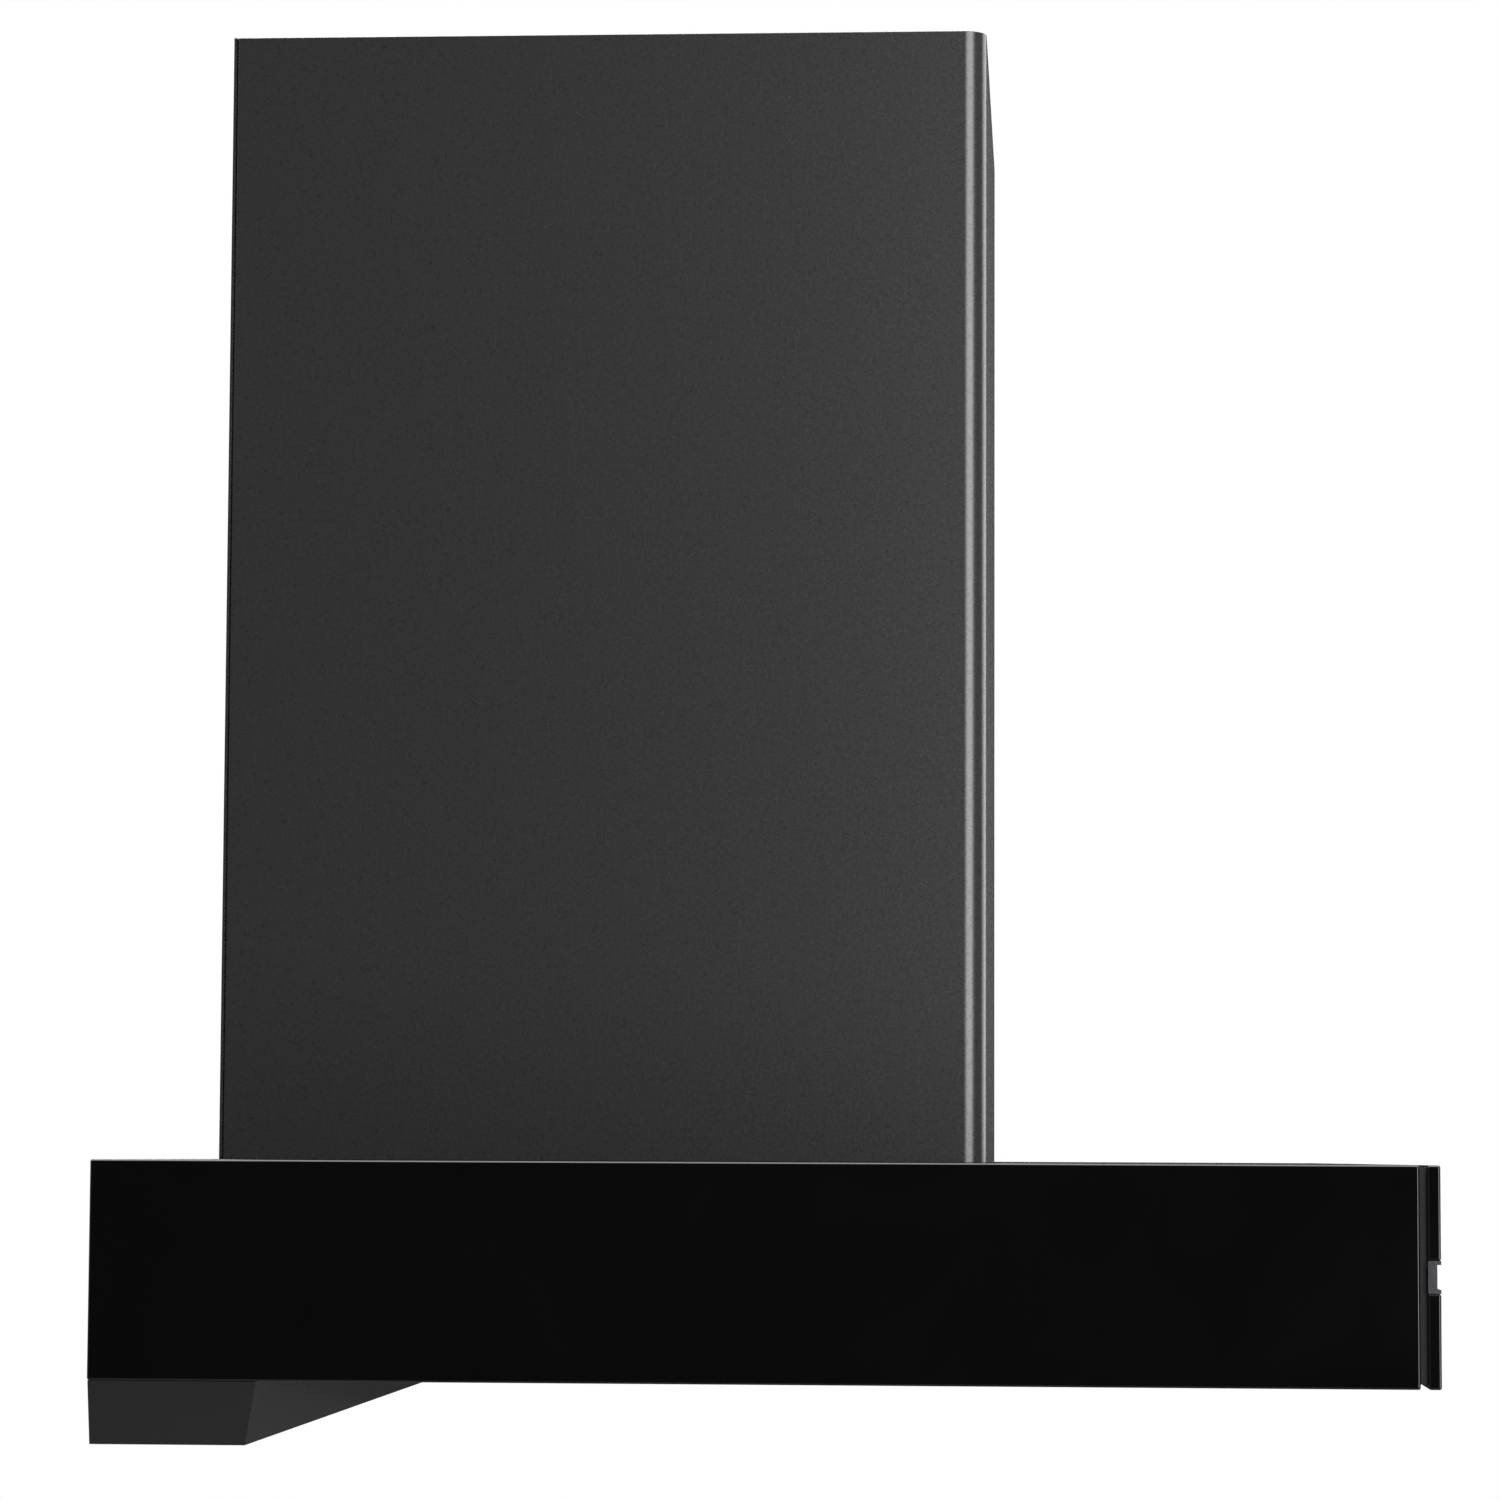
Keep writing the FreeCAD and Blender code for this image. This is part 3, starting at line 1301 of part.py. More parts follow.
def write_parts():
    doc.recompute()
    bad = [item.Name for item in doc.Objects if {"Invalid", "Error"} & set(item.State)]
    if bad:
        raise SystemExit(f"failed objects: {bad}")
    os.makedirs("parts", exist_ok=True)
    for item in nodes:
        shape = item.Shape
        if shape.isNull() or not shape.isValid() or not shape.Solids:
            raise SystemExit(f"{item.Label} has no valid solid")
        shape.exportStep(f"parts/{item.Label}.step")
        box = shape.BoundBox
        low = [round(value, 1) for value in (box.XMin, box.YMin, box.ZMin)]
        high = [round(value, 1) for value in (box.XMax, box.YMax, box.ZMax)]
        print(f"{item.Label:24} solids {len(shape.Solids):3}  {shape.Volume / 1000:9.2f} cm3  {low} {high}")
    print(len(nodes), "nodes")


fill_sheet()
build_frame()
build_canopy_shell()
keep("flush_screws", group(*build_chimney(), *build_underside()))
build_glass()
build_channel()
build_buttons()
build_lights()
keep("pivot_pins", group(*build_filters(), *build_flaps()))
build_tray()
build_blower_box()
build_scroll()
build_impeller()
build_motor()
keep("pan_screws", group(*build_bracket(), *build_collar()))
build_terminal_box()
build_capacitor()
build_control_box()
write_parts()
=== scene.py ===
# %% [markdown]
# # A ceiling-hung range hood, finished piece by piece
# The hood's working parts were drawn as solids and packed into one fixed frame, in metres: +Z up into
# the ceiling, -Y out of the glass front, X across the width. Each part could be modelled again by eye,
# but loading the frame first keeps every size and every joint true, so this lesson only adds finish:
# softened edges, real materials, and the small repeated pieces that solids leave plain.

# %% Load the frame
import json
import math

import bmesh
import bpy
from mathutils import Matrix, Vector


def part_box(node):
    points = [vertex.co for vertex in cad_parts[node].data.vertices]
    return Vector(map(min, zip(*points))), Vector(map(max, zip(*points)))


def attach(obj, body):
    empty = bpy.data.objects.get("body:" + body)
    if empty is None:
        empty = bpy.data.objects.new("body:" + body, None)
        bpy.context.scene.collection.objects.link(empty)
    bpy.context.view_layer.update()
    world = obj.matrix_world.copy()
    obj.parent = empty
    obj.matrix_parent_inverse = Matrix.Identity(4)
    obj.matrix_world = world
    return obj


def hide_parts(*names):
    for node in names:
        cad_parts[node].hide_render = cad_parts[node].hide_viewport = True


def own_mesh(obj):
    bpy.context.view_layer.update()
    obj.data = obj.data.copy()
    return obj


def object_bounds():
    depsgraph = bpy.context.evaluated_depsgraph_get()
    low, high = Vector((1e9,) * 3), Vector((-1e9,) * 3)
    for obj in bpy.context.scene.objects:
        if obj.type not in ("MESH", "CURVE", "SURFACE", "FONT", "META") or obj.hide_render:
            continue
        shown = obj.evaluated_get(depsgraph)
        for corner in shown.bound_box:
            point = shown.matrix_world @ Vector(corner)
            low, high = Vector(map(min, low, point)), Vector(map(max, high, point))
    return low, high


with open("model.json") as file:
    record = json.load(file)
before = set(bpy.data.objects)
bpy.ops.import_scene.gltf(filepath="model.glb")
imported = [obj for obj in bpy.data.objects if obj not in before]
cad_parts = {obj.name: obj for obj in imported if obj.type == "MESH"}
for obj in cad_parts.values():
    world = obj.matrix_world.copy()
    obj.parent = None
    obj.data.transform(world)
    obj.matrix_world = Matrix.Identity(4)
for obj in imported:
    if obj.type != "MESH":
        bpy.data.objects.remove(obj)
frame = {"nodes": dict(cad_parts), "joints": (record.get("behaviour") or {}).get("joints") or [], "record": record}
CAD_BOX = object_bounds()
MM = 0.001
BODY_OF = {node: body for body, nodes in frame["record"]["behaviour"]["bodies"].items() for node in nodes}
SLOT_OF = {row["node"]: row["material_slot"] for row in frame["record"]["subparts"]}
JOINT = {joint["name"]: joint for joint in frame["joints"]}

# %% [markdown]
# ## Four small tools for finishes
# A finish is a little tree of shader nodes. Building it by hand in the editor works once, but a script
# can be read and changed, so one function adds a node with its settings and links, one turns a printed
# colour into the linear light that a renderer adds up, one starts a finish from its plain values, and
# the last lets patterns drive its colour, its gloss and its relief together.

# %% Colour, node and finish
FINISH = {}


def linear(colour):
    """A hex colour as printed, turned into linear light."""
    parts = [int(colour[i : i + 2], 16) / 255 for i in (1, 3, 5)]
    return (*[p / 12.92 if p <= 0.04045 else ((p + 0.055) / 1.055) ** 2.4 for p in parts], 1.0)


def add(tree, kind, inputs, **settings):
    """Adds a node; inputs maps a socket's name or number to a value, an output, or a list of outputs."""
    node = tree.nodes.new(kind)
    for setting, value in settings.items():
        setattr(node, setting, value)
    for socket, value in inputs.items():
        for one in value if isinstance(value, list) else [value]:
            if isinstance(one, bpy.types.NodeSocket):
                tree.links.new(one, node.inputs[socket])
            else:
                node.inputs[socket].default_value = one
    return node


def new_finish(slot, name, colour, **plain):
    """Starts the finish for a slot: its tree, its shader with plain values set, and object coordinates."""
    finish = bpy.data.materials.new(name)
    finish.use_nodes = True
    tree = finish.node_tree
    shader = tree.nodes["Principled BSDF"]
    shader.inputs["Base Color"].default_value = linear(colour)
    for socket, value in plain.items():
        shader.inputs[socket.replace("_", " ")].default_value = value
    FINISH[slot] = finish
    return tree, shader, add(tree, "ShaderNodeTexCoord", {}).outputs["Object"]


def surface(finish, tone=None, gloss=None, height=None):
    """Lets patterns drive a finish. Tone is a pattern and the two printed colours it runs between, gloss
    a pattern and two roughnesses, and height a pattern and how deep it cuts in millimetres."""
    tree, shader, place = finish
    if tone:
        colour = add(tree, "ShaderNodeMix", {0: tone[0], 6: linear(tone[1]), 7: linear(tone[2])}, data_type="RGBA")
        tree.links.new(colour.outputs[2], shader.inputs["Base Color"])
    if gloss:
        shine = add(tree, "ShaderNodeMapRange", {"Value": gloss[0], "To Min": gloss[1], "To Max": gloss[2]})
        tree.links.new(shine.outputs[0], shader.inputs["Roughness"])
    if height:
        bump = add(tree, "ShaderNodeBump", {"Height": height[0], "Distance": height[1] * MM})
        tree.links.new(bump.outputs["Normal"], shader.inputs["Normal"])


print("tools ready; a mid grey prints as", [round(x, 3) for x in linear("#808080")[:3]])

# %% [markdown]
# ## Powder coat on the chimney
# The chimney is folded steel under a graphite polyester powder, melted on in an oven. It gives the eye
# a deep grey that is flat face on, a soft broad shine where the sheet bends, and tiny metal flakes that
# twinkle in that shine. The flakes are cells of a Voronoi pattern: a few of the cells turn bright and
# metallic. Real flakes are about 0.1 mm; they are drawn at 0.9 mm so that they show.

# %% Graphite powder coat
finish = tree, shader, place = new_finish("graphite_paint", "graphite_powder_coat", "#303031", Roughness=0.3,
                                          Specular_IOR_Level=0.62)
flake = add(tree, "ShaderNodeTexVoronoi", {"Vector": place, "Scale": 1 / (0.9 * MM)})
is_flake = add(tree, "ShaderNodeMapRange", {"Value": flake.outputs["Color"], "From Min": 0.72, "From Max": 0.85})
peel = add(tree, "ShaderNodeTexNoise", {"Vector": place, "Scale": 1 / (1.6 * MM), "Detail": 3.0})
metal = add(tree, "ShaderNodeMath", {0: is_flake.outputs[0], 1: 0.75}, operation="MULTIPLY")
tree.links.new(metal.outputs[0], shader.inputs["Metallic"])
surface(finish, tone=(is_flake.outputs[0], "#222223", "#3b3b3d"), gloss=(peel.outputs["Fac"], 0.22, 0.32),
        height=(peel.outputs["Fac"], 0.012))
print("graphite powder coat: flakes every 0.9 mm, peel every 1.6 mm")

# %% [markdown]
# ## Enamel on the canopy and the tray
# The canopy's steel and the tray wear a smooth black stove enamel. It flows out before it hardens, so
# the eye gets a near mirror that wavers very slightly, like the skin of an orange. A broad, shallow
# noise in the relief makes that waver, and the gloss itself comes from a clear coat over the black.

# %% Black stove enamel
finish = tree, shader, place = new_finish("black_enamel", "black_stove_enamel", "#0b0b0c", Roughness=0.3,
                                          Coat_Weight=0.5, Coat_Roughness=0.08)
peel = add(tree, "ShaderNodeTexNoise", {"Vector": place, "Scale": 1 / (4 * MM), "Detail": 1.0})
dust = add(tree, "ShaderNodeTexNoise", {"Vector": place, "Scale": 1 / (45 * MM), "Detail": 6.0})
surface(finish, gloss=(dust.outputs["Fac"], 0.2, 0.32), height=(peel.outputs["Fac"], 0.02))
print("black enamel: orange peel every 4 mm, 0.02 mm deep")

# %% [markdown]
# ## Back-painted glass
# The front and side panels are toughened soda-lime glass, polished, with black paint fired on behind.
# The eye gets the deepest black there is and a hard, clean reflection. Real transparent glass over paint
# would cost light paths and show nothing more, so it is an opaque black with the glass's own index of
# refraction, and only a faint wiping haze breaks up its gloss.

# %% Black glass
finish = tree, shader, place = new_finish("black_glass", "back_painted_black_glass", "#050505", Roughness=0.04,
                                          IOR=1.52)
haze = add(tree, "ShaderNodeTexNoise", {"Vector": place, "Scale": 1 / (70 * MM), "Detail": 5.0, "Distortion": 1.2})
surface(finish, tone=(haze.outputs["Fac"], "#030303", "#060606"), gloss=(haze.outputs["Fac"], 0.02, 0.09))
print("black glass: index 1.52, haze every 70 mm")

# %% [markdown]
# ## Foam in the shadow gap
# A strip of closed-cell EPDM foam spaces the glass off the steel. Foam gives the eye a dull, soft black
# with fine pits. Voronoi cells a millimetre apart stand for the bubbles; each is sunk in the relief and
# darker towards its centre, which is painted shade.

# %% Closed-cell foam
finish = tree, shader, place = new_finish("black_foam", "closed_cell_epdm_foam", "#101010", Roughness=0.9)
cells = add(tree, "ShaderNodeTexVoronoi", {"Vector": place, "Scale": 1 / (1.0 * MM)})
# Each cell's sunk centre is darkened as painted shade in the pit.
surface(finish, tone=(cells.outputs["Distance"], "#060606", "#121212"), height=(cells.outputs["Distance"], 0.2))
print("foam: cells every 1 mm")

# %% [markdown]
# ## Anodised aluminium
# The channel across the glass and the light trims are extruded or pressed aluminium, brushed along their
# length, then anodised. Anodising gives the eye a fine silky grey with faint long streaks. The streaks are
# noise stretched by a Mapping node: 150 mm long and half a millimetre wide.

# %% Satin anodised aluminium
finish = tree, shader, place = new_finish("anodised_aluminium", "satin_anodised_aluminium", "#8d8e91", Metallic=1.0,
                                          Roughness=0.34)
stretch = add(tree, "ShaderNodeMapping", {"Vector": place,
                                          "Scale": (1 / (150 * MM), 1 / (0.5 * MM), 1 / (0.5 * MM))})
streak = add(tree, "ShaderNodeTexNoise", {"Vector": stretch.outputs[0], "Scale": 1.0, "Detail": 4.0})
surface(finish, tone=(streak.outputs["Fac"], "#3f4043", "#56575a"), gloss=(streak.outputs["Fac"], 0.13, 0.22),
        height=(streak.outputs["Fac"], 0.01))
print("anodised aluminium: streaks 150 mm by 0.5 mm")

# %% [markdown]
# ## Spun steel buttons
# Each button's face is turned on a lathe, which leaves rings about its centre that flash as a fan of
# light. The five buttons share one finish: their centres are one pitch apart along X, so wrapping X to
# half a pitch either side puts the same rings on each. The rings are really 0.1 mm apart and are drawn
# at 0.4 mm so that they show.

# %% Spun button steel
low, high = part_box("button_speed_medium")
button_centre = (low + high) / 2
BUTTON_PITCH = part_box("button_speed_high")[0].x - low.x
finish = tree, shader, place = new_finish("button_steel", "spun_button_steel", "#b9b9b7", Metallic=1.0,
                                          Roughness=0.28)
centred = add(tree, "ShaderNodeVectorMath", {0: place, 1: button_centre}, operation="SUBTRACT")
axes = add(tree, "ShaderNodeSeparateXYZ", {0: centred.outputs[0]})
wrapped = add(tree, "ShaderNodeMath", {0: axes.outputs[0], 1: BUTTON_PITCH / 2, 2: -BUTTON_PITCH / 2},
              operation="WRAP")
about = add(tree, "ShaderNodeCombineXYZ", {"X": wrapped.outputs[0], "Y": 0.0, "Z": axes.outputs[2]})
out = add(tree, "ShaderNodeVectorMath", {0: about.outputs[0]}, operation="LENGTH")
turns = add(tree, "ShaderNodeMath", {0: out.outputs["Value"], 1: math.tau / (0.4 * MM)}, operation="MULTIPLY")
rings = add(tree, "ShaderNodeMath", {0: turns.outputs[0]}, operation="SINE")
surface(finish, gloss=(rings.outputs[0], 0.28, 0.36), height=(rings.outputs[0], 0.02))
print(f"spun steel: buttons {BUTTON_PITCH / MM:.0f} mm apart, rings every 0.4 mm")

# %% [markdown]
# ## Zinc, in three coats
# Hidden sheet is hot-dip galvanised: zinc freezes into spangles, flat crystals that each shine their own
# way. The impeller is pressed from sheet with a finer spangle. Fasteners are electroplated, which is
# smooth and slightly warm. The same Voronoi cells serve the first two at 9 and 3 mm, with a grey and a
# roughness per cell, and the fasteners take a cloudy noise.

# %% Galvanised sheet and plated fasteners
for slot, name, size, dull, clear in (
    ("galvanised_steel", "galvanised_sheet", 9, "#84888b", "#b3b7b9"),
    ("impeller_zinc", "fine_spangled_sheet", 3, "#8f9395", "#b0b3b5"),
):
    finish = tree, shader, place = new_finish(slot, name, dull, Metallic=0.9, Roughness=0.45)
    crystal = add(tree, "ShaderNodeTexVoronoi", {"Vector": place, "Scale": 1 / (size * MM), "Randomness": 1.0})
    tone = add(tree, "ShaderNodeSeparateColor", {0: crystal.outputs["Color"]})
    surface(finish, (tone.outputs[0], dull, clear), (tone.outputs[1], 0.34, 0.58),
            (crystal.outputs["Distance"], 0.02))
finish = tree, shader, place = new_finish("zinc_fasteners", "zinc_plated_steel", "#b7b3a6", Metallic=1.0,
                                          Roughness=0.3)
cloud = add(tree, "ShaderNodeTexNoise", {"Vector": place, "Scale": 1 / (2 * MM), "Detail": 3.0})
surface(finish, tone=(cloud.outputs["Fac"], "#a5a296", "#c6c3b8"), gloss=(cloud.outputs["Fac"], 0.22, 0.42))
print("zinc: spangles of 9 and 3 mm, plating clouds of 2 mm")

# %% [markdown]
# ## Brushed stainless steel
# The filters are stainless sheet, belt-brushed from front to back before it is folded. Brushing gives
# the eye long hairlines that stretch each highlight across them. As with the anodised channel, noise is
# stretched, here 120 mm along Y and 0.35 mm across, a little coarser than the belt's real 0.1 mm grit.

# %% Brushed filter stainless
finish = tree, shader, place = new_finish("stainless_filter", "brushed_stainless", "#b8b7b3", Metallic=1.0,
                                          Roughness=0.3)
stretch = add(tree, "ShaderNodeMapping", {"Vector": place,
                                          "Scale": (1 / (0.35 * MM), 1 / (120 * MM), 1 / (0.35 * MM))})
hair = add(tree, "ShaderNodeTexNoise", {"Vector": stretch.outputs[0], "Scale": 1.0, "Detail": 3.0})
surface(finish, tone=(hair.outputs["Fac"], "#9c9b98", "#cbcac6"), gloss=(hair.outputs["Fac"], 0.2, 0.42),
        height=(hair.outputs["Fac"], 0.012))
print("brushed stainless: hairlines 120 mm by 0.35 mm")

# %% [markdown]
# ## Bare and drawn steel, cast and stacked metal
# Four metals inside the hood tell their making. Spring wire is drawn through a die and is smooth; the
# motor's shell is bare pressed steel with an oily cloudiness; the light's heat sink is die-cast aluminium
# with a sandy skin; and the stator and rotor are stacks of 0.5 mm laminations, drawn 1 mm apart, whose
# dark edges show as fine lines across the motor's axis, which is X.

# %% Spring, motor, heat sink and laminations
for slot, name, dull, clear, grain, depth, rough in (
    ("spring_steel", "drawn_spring_wire", "#77777a", "#a4a4a6", 1.5, 0.004, (0.16, 0.3)),
    ("motor_steel", "pressed_motor_steel", "#7d7f80", "#9a9b9b", 12, 0.01, (0.28, 0.46)),
    ("led_heat_sink", "die_cast_aluminium", "#8e8f90", "#b2b3b3", 0.8, 0.06, (0.42, 0.6)),
):
    finish = tree, shader, place = new_finish(slot, name, dull, Metallic=1.0, Roughness=rough[0])
    skin = add(tree, "ShaderNodeTexNoise", {"Vector": place, "Scale": 1 / (grain * MM), "Detail": 4.0})
    surface(finish, (skin.outputs["Fac"], dull, clear), (skin.outputs["Fac"], *rough),
            (skin.outputs["Fac"], depth))
finish = tree, shader, place = new_finish("motor_core", "stacked_laminations", "#4a4744", Metallic=0.8, Roughness=0.5)
sheets = add(tree, "ShaderNodeTexWave", {"Vector": place, "Scale": math.tau / 20 / (1.0 * MM)}, bands_direction="X")
surface(finish, tone=(sheets.outputs["Fac"], "#2b2826", "#6a6662"), height=(sheets.outputs["Fac"], 0.08))
print("inner metals done; laminations every 1 mm")

# %% [markdown]
# ## Moulded plastics
# Latches and boxes are black glass-filled nylon with a spark-eroded texture; the scroll, rings and collar
# are dark ABS with broad flow marks; the flaps are softer polypropylene; the terminal block and capacitor
# are ivory. All are one recipe: a base, a fine texture from the mould, and a slow drift in the gloss. The
# light's lens is opal polycarbonate: pale, slightly see-through, and it scatters light under its skin.

# %% Plastics and the opal lens
for slot, name, dark, pale, grain, depth, gloss in (
    ("latch_black", "moulded_black_nylon", "#0f0f10", "#1c1c1d", 0.7, 0.05, (0.42, 0.62)),
    ("blower_plastic", "moulded_dark_abs", "#1b1c1e", "#27282a", 25, 0.03, (0.34, 0.5)),
    ("flap_plastic", "moulded_grey_polypropylene", "#38393b", "#48494b", 6, 0.03, (0.4, 0.55)),
    ("ivory_plastic", "moulded_ivory_polyamide", "#d3cdbb", "#e3decf", 9, 0.02, (0.32, 0.5)),
):
    finish = tree, shader, place = new_finish(slot, name, dark, Roughness=gloss[0])
    mould = add(tree, "ShaderNodeTexNoise", {"Vector": place, "Scale": 1 / (grain * MM), "Detail": 3.0})
    drift = add(tree, "ShaderNodeTexNoise", {"Vector": place, "Scale": 1 / (60 * MM), "Detail": 2.0})
    surface(finish, (drift.outputs["Fac"], dark, pale), (mould.outputs["Fac"], *gloss),
            (mould.outputs["Fac"], depth))
finish = tree, shader, place = new_finish("frosted_lens", "opal_polycarbonate", "#ecebe4", Roughness=0.38, IOR=1.58,
                                          Subsurface_Weight=0.25, Subsurface_Scale=2 * MM)
frost = add(tree, "ShaderNodeTexNoise", {"Vector": place, "Scale": 1 / (0.6 * MM), "Detail": 2.0})
surface(finish, tone=(frost.outputs["Fac"], "#e2e1d9", "#f3f2ec"), height=(frost.outputs["Fac"], 0.03))
print("five plastics done")

# %% [markdown]
# ## Boards, copper and brass
# A circuit board is glass-epoxy under green solder resist, with copper tracks faintly raised beneath it:
# a brick pattern of 8 by 2 mm cells gives tracks that run and step. Motor windings are copper wire in a
# clear red-brown enamel, wound side by side, so fine raised bands run round each coil, and the grooves
# between the wires are darkened with painted shade. Terminal screws are brass.

# %% Solder resist, enamelled copper and brass
finish = tree, shader, place = new_finish("circuit_board", "green_solder_resist", "#0e3b22", Roughness=0.3,
                                          Coat_Weight=0.3)
tracks = add(tree, "ShaderNodeTexBrick", {"Vector": place, "Scale": 1.0, "Mortar Size": 0.35 * MM,
                                          "Mortar Smooth": 0.3, "Bias": 0.0,
                                          "Brick Width": 8 * MM, "Row Height": 2 * MM})
surface(finish, tone=(tracks.outputs["Fac"], "#0c3a20", "#1c5a35"), height=(tracks.outputs["Fac"], 0.035))
finish = tree, shader, place = new_finish("winding", "enamelled_copper_wire", "#a4552b", Metallic=0.85, Roughness=0.3,
                                          Coat_Weight=0.4)
# The wave raises each wire's crown in the relief and darkens the grooves between wires as painted shade.
wire_relief_and_groove_shade = add(tree, "ShaderNodeTexWave", {"Vector": place, "Scale": math.tau / 20 / (0.9 * MM), "Distortion": 0.6},
            bands_direction="DIAGONAL")
surface(finish, tone=(wire_relief_and_groove_shade.outputs["Fac"], "#6d3218", "#c06c3a"), height=(wire_relief_and_groove_shade.outputs["Fac"], 0.12))
finish = tree, shader, place = new_finish("brass", "turned_brass", "#c9a75c", Metallic=1.0, Roughness=0.28)
tarnish = add(tree, "ShaderNodeTexNoise", {"Vector": place, "Scale": 1 / (1.5 * MM), "Detail": 3.0})
surface(finish, tone=(tarnish.outputs["Fac"], "#b08f49", "#d8b970"))
print(f"{len(FINISH)} finishes in all")

# %% [markdown]
# ## Every solid gets its finish
# Each node of the frame names a material slot in the record. Painting them by hand would take sixty
# steps, so a loop matches slots to finishes. Pieces made later hide some of these nodes.

# %% Paint the frame
for node, thing in frame["nodes"].items():
    thing.data.materials.clear()
    thing.data.materials.append(FINISH[SLOT_OF[node]])
print(f"{len(frame['nodes'])} nodes painted")

# %% [markdown]
# ## From solid to finished piece
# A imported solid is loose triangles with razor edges, and no real edge is that sharp: a folded sheet or a
# ground glass edge has a small radius that catches a line of light. The solid itself must stay as it is,
# so a copy is welded, its flat faces are made whole, and a Bevel rounds its edges. Weighted normals then
# keep the large faces perfectly flat to the eye.

# %% Copy, round and hand over
WELD = 0.002 * MM
SHARP = math.radians(35)
FLAT = math.radians(0.4)


def copied(*nodes):
    """A mesh that joins copies of CAD nodes, welded, with each flat face whole again."""
    shape = bmesh.new()
    for node in nodes:
        shape.from_mesh(frame["nodes"][node].data)
    bmesh.ops.remove_doubles(shape, verts=shape.verts, dist=WELD)
    bmesh.ops.dissolve_limit(shape, angle_limit=FLAT, verts=shape.verts, edges=shape.edges)
    mesh = bpy.data.meshes.new("copy")
    shape.to_mesh(mesh)
    shape.free()
    return mesh


def joined(*meshes):
    """Several meshes as one."""
    shape = bmesh.new()
    for mesh in meshes:
        shape.from_mesh(mesh)
    whole = bpy.data.meshes.new("whole")
    shape.to_mesh(whole)
    shape.free()
    return whole


def baked(thing):
    """The mesh that an object's modifiers make, after which it has none."""
    mesh = bpy.data.meshes.new_from_object(thing.evaluated_get(bpy.context.evaluated_depsgraph_get()))
    thing.modifiers.clear()
    return mesh


def finished(name, mesh, slot, body, nodes=(), edge=0.0, wall=0.0):
    """Gives a mesh its wall, rounded edges and finish, and puts it on its body in place of CAD nodes."""
    piece = bpy.data.objects.new(name, mesh)
    bpy.context.scene.collection.objects.link(piece)
    mesh.shade_smooth()
    if wall:
        sheet = piece.modifiers.new("wall", "SOLIDIFY")
        sheet.thickness = wall * MM
        sheet.offset = 0.0
        sheet.use_even_offset = True
    if edge:
        rounding = piece.modifiers.new("edge", "BEVEL")
        rounding.width = edge * MM
        rounding.segments = 2
        rounding.angle_limit = SHARP
        faces = piece.modifiers.new("faces", "WEIGHTED_NORMAL")
        faces.keep_sharp = True
        piece.data = baked(piece)
    else:
        mesh.set_sharp_from_angle(angle=SHARP)
    piece.data.name = name
    piece.data.materials.clear()
    piece.data.materials.append(FINISH[slot])
    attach(piece, body)
    if nodes:
        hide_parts(*nodes)
    print(f"{name}: {len(piece.data.polygons)} faces on {body}")
    return piece


# %% [markdown]
# ## Pieces that only need their edges
# Most sheet and moulded pieces are already the right shape, and what they lack is the edge. The radius
# depends on how a piece is made: 0.2 mm where glass was ground or a button turned, 0.3 to 0.4 mm on a
# sheared sheet, and 0.5 mm on a moulding.

# %% Round what was folded, ground and moulded
EDGES = {
    0.2: ("side_glass_left", "side_glass_right", "front_glass_upper", "front_glass_lower", "control_channel",
          "light_bezels", "button_power", "button_speed_low", "button_speed_medium", "button_speed_high",
          "button_light", "damper_flap_front", "damper_flap_back", "terminal_cover"),
    0.3: ("canopy_shell", "underside_panel", "chimney_back_panel", "grease_tray", "filter_frame_left",
          "filter_frame_right", "terminal_box", "frame_posts", "motor_bracket"),
    0.4: ("ceiling_plate", "support_plate", "blower_box", "motor_housing", "duct_collar"),
    0.5: ("filter_latch_left", "filter_latch_right", "scroll_half_left", "scroll_half_right", "control_box"),
}
for edge, nodes in EDGES.items():
    for node in nodes:
        finished(f"{node}_finished", copied(node), SLOT_OF[node], BODY_OF[node], (node,), edge)

# %% [markdown]
# ## Rules that grow pieces
# What repeats or follows a path is grown by Geometry Nodes. A rule is a node tree with named sizes; a
# modifier runs it on a small seed mesh. Copying in Python would work too, but a rule keeps its sizes in
# one place and can be tried live in the editor. Each rule ends by making its instances real and setting
# the material, because an export keeps neither instances nor modifiers.

# %% Start, end and run a rule
def new_rule(name, **sizes):
    """A Geometry Nodes tree with geometry in and out and a named input for each size."""
    rule = bpy.data.node_groups.new(name, "GeometryNodeTree")
    rule.interface.new_socket("Geometry", in_out="OUTPUT", socket_type="NodeSocketGeometry")
    rule.interface.new_socket("Geometry", in_out="INPUT", socket_type="NodeSocketGeometry")
    for size, kind in sizes.items():
        rule.interface.new_socket(size, in_out="INPUT", socket_type=f"NodeSocket{kind}")
    rule.interface.new_socket("Finish", in_out="INPUT", socket_type="NodeSocketMaterial")
    return rule, rule.nodes.new("NodeGroupInput").outputs


def end_rule(rule, given, grown):
    """Makes the instances real, sets the material and sends the geometry out."""
    real = add(rule, "GeometryNodeRealizeInstances", {"Geometry": grown})
    made = add(rule, "GeometryNodeSetMaterial", {"Geometry": real.outputs[0], "Material": given["Finish"]})
    add(rule, "NodeGroupOutput", {0: made.outputs[0]})


def grow(rule, seed, slot, **sizes):
    """The plain mesh that a rule grows from a seed mesh with these sizes."""
    thing = bpy.data.objects.new(rule.name, seed)
    bpy.context.scene.collection.objects.link(thing)
    run = thing.modifiers.new(rule.name, "NODES")
    run.node_group = rule
    sizes["Finish"] = FINISH[slot]
    for item in rule.interface.items_tree:
        if item.in_out == "INPUT" and item.name in sizes:
            run[item.identifier] = sizes[item.name]
    mesh = baked(thing)
    bpy.data.objects.remove(thing)
    return mesh


